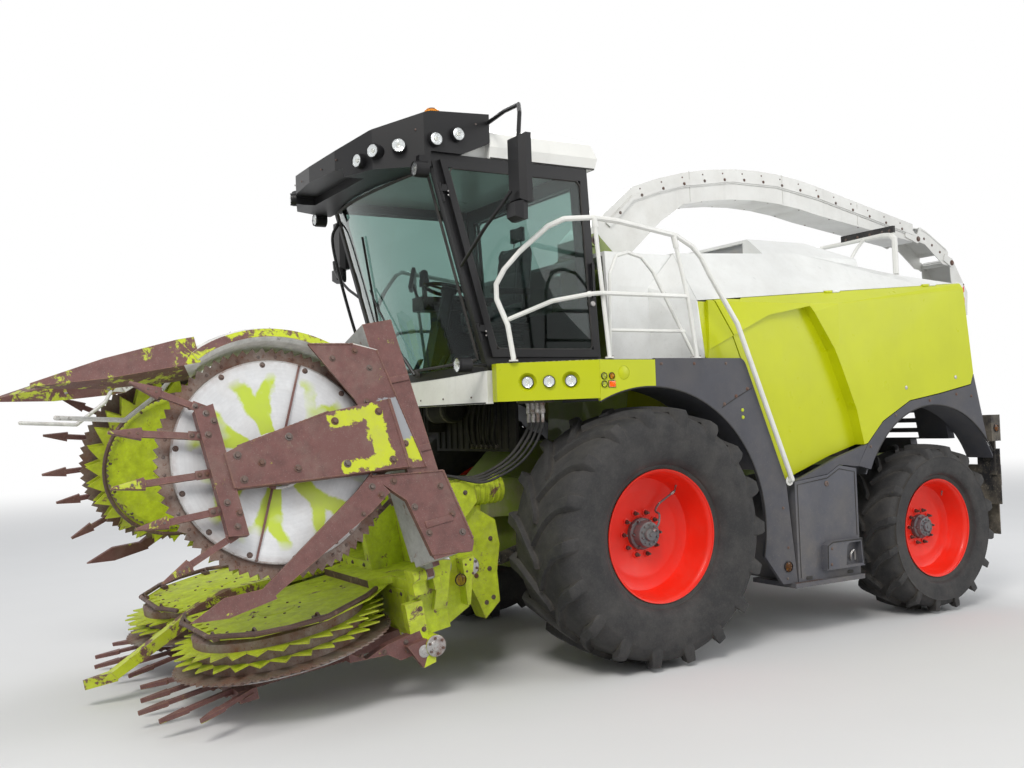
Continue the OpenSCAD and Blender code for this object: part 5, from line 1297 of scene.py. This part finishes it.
bm = bmesh.new()
for s in (1, -1):
    # edge bead round the front arch
    arc = [pt(s * 1.4165, 1.031 * cos(radians(a)), 0.9 + 1.031 * sin(radians(a)))
           for a in range(-14, 116, 3)]
    sweep(bm, arc, 0.0065, 8, 0)
    # seam of the fender with its screws, and two clips below
    sweep(bm, row((s * 1.4205, 0.645, 1.77), (s * 1.4205, 0.79, 1.84), (s * 1.4205, 0.945, 1.909)), 0.0035,
        6, 0)
    for y, z in ((0.9, 1.902), (0.785, 1.848), (0.669, 1.793)):
        screw(bm, facing_side(s, SIDE_X, y, z), 0.01, 0.006, 1)
    for y, z in ((0.842, 1.746), (0.844, 1.693)):
        spin(bm, [(0.014, -0.001), (0.013, 0.004), (0.009, 0.006), (0, 0.0065)],
            facing_side(s, SIDE_X, y, z), 18, 2)
    for y, z in ((0.1, 2.09), (0.4, 2.09), (0.7, 2.09), (1.225, 0.47), (1.245, 0.7), (1.21, 1.0)):
        screw(bm, facing_side(s, SIDE_X, y, z), 0.008, 0.005, 1)
    # rear arch's edge bead and screws
    arc = [pt(s * 1.4165, 3.0 + 0.896 * cos(radians(a)), 0.84 + 0.896 * sin(radians(a)))
           for a in range(32, 148, 3)]
    sweep(bm, arc, 0.0065, 8, 0)
    for y, z in ((2.2, 1.42), (2.52, 1.66), (2.95, 1.775), (3.3, 1.82), (3.5, 1.8)):
        screw(bm, facing_side(s, SIDE_X, y, z), 0.009, 0.006, 1)
    # side box: seam frame, lock, hinges and tread strips
    frame_pts = [(1.365, 0.46), (1.365, 1.165), (1.69, 1.198), (1.825, 1.262), (1.995, 1.232),
        (1.995, 0.735)]
    sweep(bm, row(*[(s * 1.4203, y, z) for y, z in frame_pts]), 0.004, 6, 0)
    spin(bm, [(0.022, -0.001), (0.022, 0.004), (0.018, 0.007), (0.01, 0.007), (0.009, 0.004), (0, 0.004)],
         facing_side(s, SIDE_X, 1.68, 1.155), 24, 1)
    for y in (1.45, 1.9):
        beam(bm, (-0.03, -0.012, -0.001), (0.03, 0.012, 0.007), facing_side(s, SIDE_X, y, 0.455), 0.003, 0)
    for k in range(11):
        beam(bm, (0, 0, 0), (0.03, 0.012, 0.004), TO_ROW @ at(s * 1.437 - 0.015, 1.29 + k * 0.026, 0.4295),
            0.0015, 1)
    sweep(bm, row(*[(s * 1.4755, y, z) for y, z in ((1.6, 0.51), (1.608, 0.684), (1.664, 0.708),
        (1.984, 0.708), (2.002, 0.51))]), 0.005, 8, 0)
    for y, z in ((1.64, 0.54), (1.65, 0.66)):
        screw(bm, facing_side(s, 1.4752, y, z), 0.008, 0.005, 1)
    # towing hook and coupling in the step's pocket
    sweep(bm, catmull(row((s * 1.428, 1.9, 0.545), (s * 1.445, 1.885, 0.59), (s * 1.448, 1.915, 0.625),
        (s * 1.436, 1.94, 0.6), (s * 1.428, 1.95, 0.545)), 5), 0.008, 8, 3)
    # cover latches under the crease
    for y, z in ((2.66, 1.905), (3.3, 1.985)):
        spin(bm, [(0.016, -0.001), (0.016, 0.003), (0.012, 0.005), (0, 0.005)],
            facing_side(s, 1.4195, y, z - 0.02), 20, 3)
link("side_trim", bm, ["rubber", "nut", "tool_green", "steel"], "machine")

bm = bmesh.new()
for s in (1, -1):
    # handrail feet
    for x, y in ((1.085, -0.905), (1.4, -0.33), (1.405, 0.44), (1.33, -0.275), (1.33, 0.48)):
        for a in (0.6, 3.74):
            screw(bm, TO_ROW @ at(s * (x + 0.024 * cos(a)), y + 0.024 * sin(a), 2.1403), 0.0055, 0.005, 0)
    # collars where the tubes are welded
    for pts in (((1.44, 0.24, 3.0), (1.4392, 0.262, 2.915)), ((1.42, -0.43, 3.085), (1.4183, -0.421, 3.02)),
                ((1.4025, -0.4672, 2.5662), (1.39, -0.483, 2.5635))):
        a, b = row(*[(s * p[0], p[1], p[2]) for p in pts])
        sweep(bm, [a, b], 0.0205, 14, 1)
    # lower end of the diagonal rail
    spot = outward(s, 1.4265, 1.285, 1.2)
    spin(bm, [(0.036, -0.006), (0.036, -0.001), (0.03, 0.002), (0.02, 0.002)], spot, 28, 1)
    # feet of the chute rest, down to the sloping hood, and the lower ends of its struts
    spin(bm, [(0.028, -0.012), (0.028, 0.09)], TO_ROW @ at(s * 0.9, 3.25, 2.826), 28, 1)
    foot = facing(pt(s * 0.9, 3.25, 2.826), (0, 0.1936, 0.9811))
    spin(bm, [(0.062, -0.004), (0.062, 0.006), (0.058, 0.009), (0.036, 0.01), (0.029, 0.018)], foot, 32, 1)
    for k in range(4):
        screw(bm, foot @ Matrix.Rotation(pi * (k + 0.5) / 2, 4, "Z") @ at(0.047, 0, 0.0088), 0.0065, 0.005,
            0)
    a, b = row((s * 0.64, 2.9, 3.0), (s * 0.645, 2.8745, 2.9758))
    sweep(bm, [a, b], 0.016, 20, 1)
    spin(bm, [(0.024, -0.006), (0.024, 0.004), (0.017, 0.008)],
        facing(a.lerp(b, 0.62), (a - b).normalized()), 24, 1)
    for x in (0.36, 0.5, 0.64, 0.78, 0.86):
        screw(bm, facing(pt(s * x, 3.235, 3.32), (0, -1, 0)), 0.008, 0.006, 0)
link("rail_trim", bm, ["nut", "white"], "machine")

# Cab: roof joint and ribs, screws of the front panel and visor
BOW_Y, BOW_R = 1.615, 2.775      # centre and radius of the front panel's bow


def bow_y(x):
    return BOW_Y - sqrt(BOW_R ** 2 - x * x)


bm = bmesh.new()
roof = [(0.902, -0.045), (0.902, -0.93), (0.855, -0.945), (0.855, -1.38), (-0.855, -1.38), (-0.855, -0.945),
    (-0.902, -0.93), (-0.902, -0.045)]
line = row(*[(x, y, 3.566) for x, y in roof])
sweep(bm, line + [line[0]], 0.007, 6, 0)
for x in (-0.56, 0.56):
    sweep(bm, row((x, -0.1, 3.765), (x, -0.22, 3.8155), (x, -0.9, 3.8458), (x, -1.38, 3.836)), 0.006, 6, 1)
for x in (-0.75, -0.45, -0.15, 0.15, 0.45, 0.75):
    y = bow_y(x)
    screw(bm, facing(pt(x, y - 0.0006, 1.9), (x, y - BOW_Y, 0)), 0.007, 0.004, 2, False)
sweep(bm, [pt(x, bow_y(x) - 0.001, 1.856) for x in [-0.88 + 0.11 * k for k in range(17)]], 0.005, 6, 1)
# visor: screws
for s in (1, -1):
    for x, y, z in ((0.2, -1.9035, 3.55), (0.42, -1.876, 3.57), (0.9, -1.5, 3.7), (0.928, -1.05, 3.78)):
        n = (s * 0.05, -1, 0) if y < -1.8 else (s, 0, 0)
        px = s * (x if y < -1.8 else (0.9305 if y > -1.45 else 0.9035))
        screw(bm, facing(pt(px, y, z), n), 0.007, 0.004, 2, False)
link("cab_trim", bm, ["rubber", "black", "nut"], "machine")

bm = bmesh.new()
# pedals, floor mat ribs, monitor, levers and buttons
for x in (-0.21, 0.21, 0.33):
    plate(bm, [(-0.045, -0.075), (0.045, -0.075), (0.04, 0.075), (-0.04, 0.075)], 0.0, 0.01,
          TO_ROW @ at(x, -1.0, 2.165) @ turned(60, "X"), 0.004, 0)
    sweep(bm, row((x, -0.985, 2.16), (x, -1.005, 2.09)), 0.009, 8, 2)
for k in range(14):
    beam(bm, (-0.7, -0.006, 0), (0.7, 0.006, 0.003), TO_ROW @ at(0, -0.62 - k * 0.028, 2.0803), 0.001, 1)
place = TO_ROW @ at(-0.64, -0.83, 2.92) @ turned(-28) @ turned(78, "X")
beam(bm, (-0.13, -0.09, -0.03), (0.13, 0.09, 0.0), place, 0.008, 0)
beam(bm, (-0.112, -0.074, -0.001), (0.112, 0.074, 0.003), place, 0.002, 3)
sweep(bm, catmull(row((-0.545, -0.78, 2.7), (-0.6, -0.8, 2.79), (-0.635, -0.81, 2.88)), 6), 0.012, 8, 0)
# control lever with its grip and buttons
base = pt(-0.45, -0.8, 2.9)
spin(bm, [(0.026, -0.02), (0.034, 0.0), (0.036, 0.03), (0.03, 0.06), (0.018, 0.074), (0, 0.078)],
    Matrix.Translation(base), 28, 0)
for k in range(4):
    spin(bm, [(0.006, 0), (0.006, 0.006), (0, 0.007)],
        facing(base + Vector((0.022 * cos(k), -0.026, 0.012 + k * 0.014)), (0, -1, 0.2)), 12, 3)
for i in range(5):
    for j in range(3):
        spin(bm, [(0.01, -0.002), (0.01, 0.004), (0.008, 0.006), (0, 0.006)],
             TO_ROW @ at(-0.52 + j * 0.045, -0.64 + i * 0.05, 2.7), 14, 3)
# steering wheel's boss and its cap
hub = TO_ROW @ at(0, -0.98, CAB_FLOOR_Z) @ turned(-14, "X") @ at(0, 0, 0.698)
spin(bm, [(0.062, -0.024), (0.066, 0.0), (0.06, 0.014), (0.04, 0.02), (0, 0.022)], hub, 36, 0)
spin(bm, [(0.02, 0.02), (0.019, 0.023), (0, 0.0235)], hub, 24, 3)
link("cab_controls", bm, ["black", "rubber", "steel", "screen_glass"], "machine")

# Seat: rigid base with its bellows, arm rests, rods of the headrest
bm = bmesh.new()
shell = TO_ROW @ at(0, 0, CAB_FLOOR_Z)
beam(bm, (-0.225, -0.59, 0.0), (0.225, -0.225, 0.035), shell, 0.008, 0)
for k in range(8):
    fold = k % 2
    w = 0.15 + 0.012 * fold
    beam(bm, (-w, -0.545 - 0.01 * fold, 0.035 + k * 0.04), (w, -0.255 + 0.01 * fold, 0.073 + k * 0.04),
        shell, 0.012, 1)
beam(bm, (-0.205, -0.6, 0.358), (0.205, -0.215, 0.4095), shell, 0.01, 0)
for s in (1, -1):
    beam(bm, (s * 0.29 - 0.033, -0.6, 0.622), (s * 0.29 + 0.033, -0.262, 0.668), shell, 0.014, 0)
    beam(bm, (s * 0.29 - 0.018, -0.328, 0.442), (s * 0.29 + 0.018, -0.284, 0.626), shell, 0.006, 0)
    beam(bm, (s * 0.26 - 0.018, -0.328, 0.44), (s * 0.26 + 0.018, -0.284, 0.468), shell, 0.004, 0)
    sweep(bm, [shell @ Vector(p) for p in ((s * 0.055, -0.178, 1.04), (s * 0.055, -0.176, 1.12))], 0.007,
        10, 2)
    spin(bm, [(0.03, -0.002), (0.03, 0.01), (0.022, 0.014), (0, 0.014)],
        shell @ facing((s * 0.322, -0.305, 0.64), (s, 0, 0)), 24, 1)
spin(bm, [(0.018, 0), (0.018, 0.006), (0.013, 0.01), (0, 0.01)],
    shell @ facing((0.2055, -0.4, 0.385), (1, 0, 0)), 20, 2)
base_piece = link("seat_base", bm, ["black", "rubber", "steel"], "machine")
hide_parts("seat")


def crowned(name, lo, hi, cell=0.007, cap=0.022):
    """A cushion: a rounded box of cloth that is blown up a little."""
    part = bmesh.new()
    bmesh.ops.create_cube(part, size=1.0)
    bmesh.ops.bevel(part, geom=part.edges[:], offset=0.1, segments=3, affect="EDGES", profile=0.6)
    for v in part.verts:
        v.co = Vector([lo[k] + (v.co[k] + 0.5) * (hi[k] - lo[k]) for k in range(3)])
    me = bpy.data.meshes.new(name)
    part.to_mesh(me)
    part.free()
    o = new_object(name, me)
    rm = o.modifiers.new("remesh", "REMESH")
    rm.mode = "VOXEL"
    rm.voxel_size = cell
    apply_all(o)
    start = [v.co.copy() for v in o.data.vertices]
    cl = o.modifiers.new("cloth", "CLOTH")
    cl.settings.use_pressure = True
    cl.settings.uniform_pressure_force = PUFF
    cl.settings.effector_weights.gravity = 0.0
    cl.settings.quality = 5
    cl.point_cache.frame_start = 1
    cl.point_cache.frame_end = CLOTH_FRAMES
    scene = bpy.context.scene
    for f in range(1, CLOTH_FRAMES + 1):
        scene.frame_set(f)
    apply_all(o)
    scene.frame_set(1)
    if len(start) == len(o.data.vertices):
        for v, a in zip(o.data.vertices, start):
            d = v.co - a
            if d.length > cap:
                v.co = a + d * (cap / d.length)
    return o


def apply_all(o):
    dg = bpy.context.evaluated_depsgraph_get()
    me = bpy.data.meshes.new_from_object(o.evaluated_get(dg))
    old = o.data
    o.modifiers.clear()
    o.data = me
    bpy.data.meshes.remove(old)


def press(o, lines, axis, width=0.01, depth=0.007, other=None):
    """Sewn channels: points near a line sink towards the inside along their normal."""
    me = o.data
    moves = []
    for v in me.vertices:
        d = min((abs(v.co[axis] - c) if other is None or abs(v.co[other[0]]) < other[1] else 1.0)
            for c in lines)
        moves.append(depth * exp(-(d / width) ** 2))
    normals = [v.normal.copy() for v in me.vertices]
    for v, n, m in zip(me.vertices, normals, moves):
        v.co = v.co - n * m


def finish_pad(o):
    o.data.materials.clear()
    o.data.materials.append(M["seat"])
    sub = o.modifiers.new("sub", "SUBSURF")
    sub.levels = 1
    apply_all(o)
    o.data.transform(TO_ROW)
    for p in o.data.polygons:
        p.use_smooth = True
    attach(o, "machine")
    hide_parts("seat")


def shape(o, fn):
    for v in o.data.vertices:
        v.co = fn(v.co.copy())


pad = crowned("seat_cushion", (-0.222, -0.632, 2.502), (0.222, -0.218, 2.586))
shape(pad, lambda c: Vector((c.x * (1 + 0.04 * cos((c.y + 0.42) * 6)), c.y,
    max(2.4935, c.z + (0.012 * (abs(c.x) / 0.22) ** 3 + 0.006 * cos((c.y + 0.4) * 7) if c.z > 2.55
    else 0)))))
press(pad, (-0.145, 0.145), 0, 0.009, 0.008)
press(pad, (-0.36, -0.5), 1, 0.009, 0.006, (0, 0.145))
finish_pad(pad)
pad = crowned("seat_back", (-0.2, -0.262, 2.64), (0.2, -0.182, 3.128))
shape(pad, lambda c: Vector((c.x * (1.04 - 0.16 * max(0, (c.z - 2.95) / 0.18) ** 2),
    c.y + 0.1 * (c.z - 2.85) - (0.016 * (abs(c.x) / 0.2) ** 3 if c.y < -0.23 else 0), c.z)))
press(pad, (-0.125, 0.125), 0, 0.009, 0.008)
press(pad, (2.78, 2.9, 3.02), 2, 0.009, 0.006, (0, 0.125))
finish_pad(pad)
pad = crowned("seat_headrest", (-0.092, -0.196, 3.158), (0.092, -0.158, 3.278), 0.005, 0.01)
finish_pad(pad)


# Wings: guard ring over the drum, scraper strips over the dish, white edge of the skid plate
STRIP = [(0.165, -0.0075), (0.6, -0.006), (0.6, 0.006), (0.165, 0.0075)]
CLAMP = (0.112, -0.02, -0.118), (0.178, 0.02, -0.108)
for s, side in SIDES:
    wing = on(WING, s)
    bm = bmesh.new()
    ring = [(2.46, 0.712), (2.52, 0.6), (2.585, 0.42)]
    ring += [(2.1 + 0.555 * cos(radians(a)), 0.555 * sin(radians(a))) for a in range(28, -209, -12)]
    ring += [(1.615, 0.42), (1.68, 0.6), (1.74, 0.712)]
    line = catmull([wing @ Vector((x, y, 0.172)) for x, y in ring], 3)
    sweep(bm, line, 0.015, 10, 0)
    for x in (2.46, 1.74):
        beam(bm, (x - 0.04, 0.704, 0.1495), (x + 0.04, 0.76, 0.19), wing, 0.004, 0)
        for dx in (-0.024, 0.024):
            screw(bm, wing @ at(x + dx, 0.735, 0.19), 0.01, 0.008, 1)
    # strips that scrape the dish, from the arm outwards
    for a in (28, 208):
        turn = wing @ at(2.1, 0, 0) @ turned(a)
        plate(bm, STRIP, -0.003, 0.003, turn @ at(0, 0, -0.1135), 0.001, 2)
        screw(bm, flat(turn, 0.59, 0, -0.1165), 0.009, 0.006, 1, False)
        beam(bm, *CLAMP, turn, 0.003, 2)
    # bright edge of the skid plate
    edge = [wing @ Vector((x, y, -0.2085)) for x, y in ((1.838, 0.826), (2.602, 0.742), (2.666, 0.604),
        (2.712, 0.345))]
    sweep(bm, edge, 0.007, 8, 3)
    link(f"wing_guard_{side}", bm, ["guard", "nut", "brown", "shield"], f"wing_{side}")

for s, side in SIDES:
    bm = bmesh.new()
    head = on(HEADER, s)
    for a in (40, 220):
        turn = head @ at(0.7, 0, 0) @ turned(a)
        plate(bm, STRIP, -0.003, 0.003, turn @ at(0, 0, -0.1135), 0.001, 0)
        beam(bm, *CLAMP, turn, 0.003, 0)
    link(f"centre_strips_{side}", bm, ["brown"], "header")

# Under the cab: belly tray, bulkhead with its pipes, and an oil reservoir
# tray, bulkhead, reservoir and pipes are near-black: painted shade of the space under the cab
bm = bmesh.new()
beam(bm, (-0.8, -0.93, 1.99), (0.8, -0.08, 2.0195), TO_ROW, 0.006, 0)
for k in range(9):
    beam(bm, (-0.78 + 0.185 * k, -0.9, 1.982), (-0.72 + 0.185 * k, -0.11, 1.992), TO_ROW, 0.003, 0)
beam(bm, (-0.64, -0.64, 1.5), (0.64, -0.61, 1.995), TO_ROW, 0.006, 0)
for k in range(12):
    beam(bm, (-0.6 + 0.1 * k, -0.652, 1.52), (-0.56 + 0.1 * k, -0.638, 1.96), TO_ROW, 0.004, 0)
tank = TO_ROW @ at(-0.42, -0.76, 1.83) @ QUARTER_Y
spin(bm, [(0, -0.002), (0.085, 0), (0.098, 0.012), (0.1, 0.03), (0.1, 0.33), (0.098, 0.348), (0.085, 0.36),
    (0, 0.362)], tank, 40, 0)
for z in (0.06, 0.3):
    spin(bm, [(0.1, z - 0.016), (0.104, z - 0.012), (0.104, z + 0.012), (0.1, z + 0.016)], tank, 40, 2)
spin(bm, [(0.02, 0.09), (0.02, 0.125), (0.026, 0.128), (0.026, 0.145), (0, 0.147)],
    TO_ROW @ at(-0.24, -0.76, 1.83), 24, 2)
for k in range(6):
    x = 0.08 + 0.075 * k
    line = catmull(row((x, -0.665, 1.96), (x + 0.01, -0.7, 1.86), (x - 0.03 + 0.012 * k, -0.72, 1.74),
        (x - 0.06, -0.69, 1.62), (x - 0.07, -0.664, 1.54)), 5)
    sweep(bm, line, 0.012 if k % 2 else 0.009, 10, 1)
    for p in (line[0], line[-1]):
        spin(bm, [(0.018, -0.002), (0.018, 0.02), (0.014, 0.024)],
            facing(p + Vector((0, 0.012, 0)), (0, -1, 0)), 16, 2)
beam(bm, (-0.735, -0.81, 1.655), (-0.45, -0.655, 1.993), TO_ROW, 0.01, 0)
for k in range(5):
    beam(bm, (-0.715 + 0.052 * k, -0.818, 1.675), (-0.69 + 0.052 * k, -0.808, 1.975), TO_ROW, 0.003, 0)
link("under_cab", bm, ["pit", "pit", "under"], "machine")

# Hydraulic block behind the left lamp fascia, its couplings and the hoses to the header
bm = bmesh.new()
block = TO_ROW @ at(1.0, -0.69, 1.905)
beam(bm, (-0.13, -0.075, -0.06), (0.13, 0.075, 0.06), block, 0.006, 0)
beam(bm, (-0.11, -0.02, 0.055), (0.11, 0.02, 0.18), block, 0.005, 1)
PORTS = [(-0.09, 0.0), (-0.03, 0.0), (0.03, 0.0), (0.09, 0.0)]
for x, y in PORTS:
    port = block @ at(x, y, -0.06) @ HALF_X
    spin(bm, [(0.021, -0.002), (0.021, 0.012), (0.016, 0.014), (0.016, 0.04), (0.019, 0.042), (0.019, 0.07),
        (0.0135, 0.074), (0.0125, 0.09), (0, 0.09)], port, 24, 2)
    screw(bm, port @ at(0, 0, 0.045), 0.0205, 0.016, 2, False)
for x in (-0.105, -0.035, 0.035, 0.105):
    spin(bm, [(0.016, 0), (0.016, 0.01), (0.011, 0.012), (0.011, 0.034), (0, 0.036)],
        block @ at(x, -0.075, 0) @ QUARTER_X, 20, 2)
for x, z in ((-0.115, 0.045), (0.115, 0.045), (-0.115, -0.045), (0.115, -0.045)):
    screw(bm, block @ at(x, -0.075, z) @ QUARTER_X, 0.007, 0.006, 2, False)
link("hose_block", bm, ["under", "black", "steel"], "machine")

HOSES = []
for k, ((px, py), r) in enumerate(zip(PORTS, (0.011, 0.011, 0.009, 0.009))):
    exit_point = block @ Vector((px, py, -0.15))
    spread = 0.042 * (k - 1.5)
    inlet = 0.79 + spread
    pts = [exit_point, exit_point + Vector((0, -0.006, -0.07))]
    for part, y, z in ((0.1, -0.745, 1.59), (0.26, -0.83, 1.48), (0.5, -0.95, 1.395), (0.76, -1.1, 1.345)):
        x = exit_point.x + (inlet - exit_point.x) * part
        pts.append(pt(x, y, z - 0.01 * k * (part < 0.9)))
    pts += [HEADER @ Vector((inlet, 1.3, 0.712)), HEADER @ Vector((inlet, 1.215, 0.7205)),
        HEADER @ Vector((inlet, 1.14, 0.721))]
    HOSES.append((f"hose_{k + 1}", pts, r, exit_point))
# crimped sleeves at both ends of the hoses
for name, body, k in (("sleeves_upper", "machine", 0), ("sleeves_lower", "header", -1)):
    bm = bmesh.new()
    for _, pts, r, _ in HOSES:
        line = catmull(pts, 6)
        a, b = (line[0], line[1]) if k == 0 else (line[-1], line[-2])
        d = (b - a).normalized()
        spin(bm, [(r * 1.02, -0.004), (r * 1.35, -0.002), (r * 1.35, 0.026), (r * 1.22, 0.03),
            (r * 1.22, 0.042), (r * 1.04, 0.044)], facing(a, d), 18, 0)
    link(name, bm, ["steel"], body)
for name, pts, r, exit_point in HOSES:
    line = catmull(pts, 6)
    bm = bmesh.new()
    sweep(bm, line, r, 14, 0)
    o = link(name, bm, ["rubber"], None)
    length = sum((q - p).length for p, q in zip(line, line[1:]))
    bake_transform(o)

# manifold on the gear drive that the hoses go into
bm = bmesh.new()
top = HEADER @ at(0.79, 1.07, 0.7)
beam(bm, (-0.11, -0.04, -0.002), (0.11, 0.04, 0.044), top, 0.005, 0)
for k in range(4):
    port = top @ at(0.042 * (k - 1.5), 0.04, 0.021) @ BACK_X
    spin(bm, [(0.0185, -0.002), (0.0185, 0.01), (0.015, 0.012), (0.015, 0.03), (0, 0.03)], port, 22, 1)
for x, y in ((-0.098, -0.028), (0.098, -0.028)):
    screw(bm, top @ at(x, y, 0.044), 0.007, 0.006, 1, False)
link("hose_manifold", bm, ["under", "steel"], "header")


bm = bmesh.new()
bmesh.ops.create_grid(bm, x_segments=1, y_segments=1, size=150)
floor = link("floor", bm, stage_material("floor_pale", (0.74, 0.74, 0.74)), None, None)

world = bpy.data.worlds.new("studio")
bpy.context.scene.world = world
world.use_nodes = True
wt = world.node_tree
wt.nodes.clear()
out = wt.nodes.new("ShaderNodeOutputWorld")
soft = wt.nodes.new("ShaderNodeBackground")
white = wt.nodes.new("ShaderNodeBackground")
mixer = wt.nodes.new("ShaderNodeMixShader")
soft.inputs["Color"].default_value = (0.93, 0.96, 1.0, 1)
soft.inputs["Strength"].default_value = 0.58
white.inputs["Color"].default_value = (1, 1, 1, 1)
white.inputs["Strength"].default_value = 1.0
seen = seen_ray(wt)
wt.links.new(seen, mixer.inputs[0])
wt.links.new(soft.outputs[0], mixer.inputs[1])
wt.links.new(white.outputs[0], mixer.inputs[2])
wt.links.new(mixer.outputs[0], out.inputs["Surface"])


def area(name, loc, target, size, power, col=(1, 1, 1)):
    d = bpy.data.lights.new(name, "AREA")
    d.shape = "DISK"
    d.size = size
    d.energy = power
    d.color = col
    o = new_object(name, d)
    o.location = loc
    o.rotation_euler = (Vector(target) - Vector(loc)).to_track_quat("-Z", "Y").to_euler()


area("key", (9, -9, 13), (0, -0.5, 1.2), 6, 1480, (1.0, 0.97, 0.93))
area("fill", (10, 9, 6), (0, 1, 1.2), 8, 400)
area("rim", (-8, 4, 10), (0, 0, 2), 6, 480)

bpy.context.scene.view_settings.view_transform = "Standard"
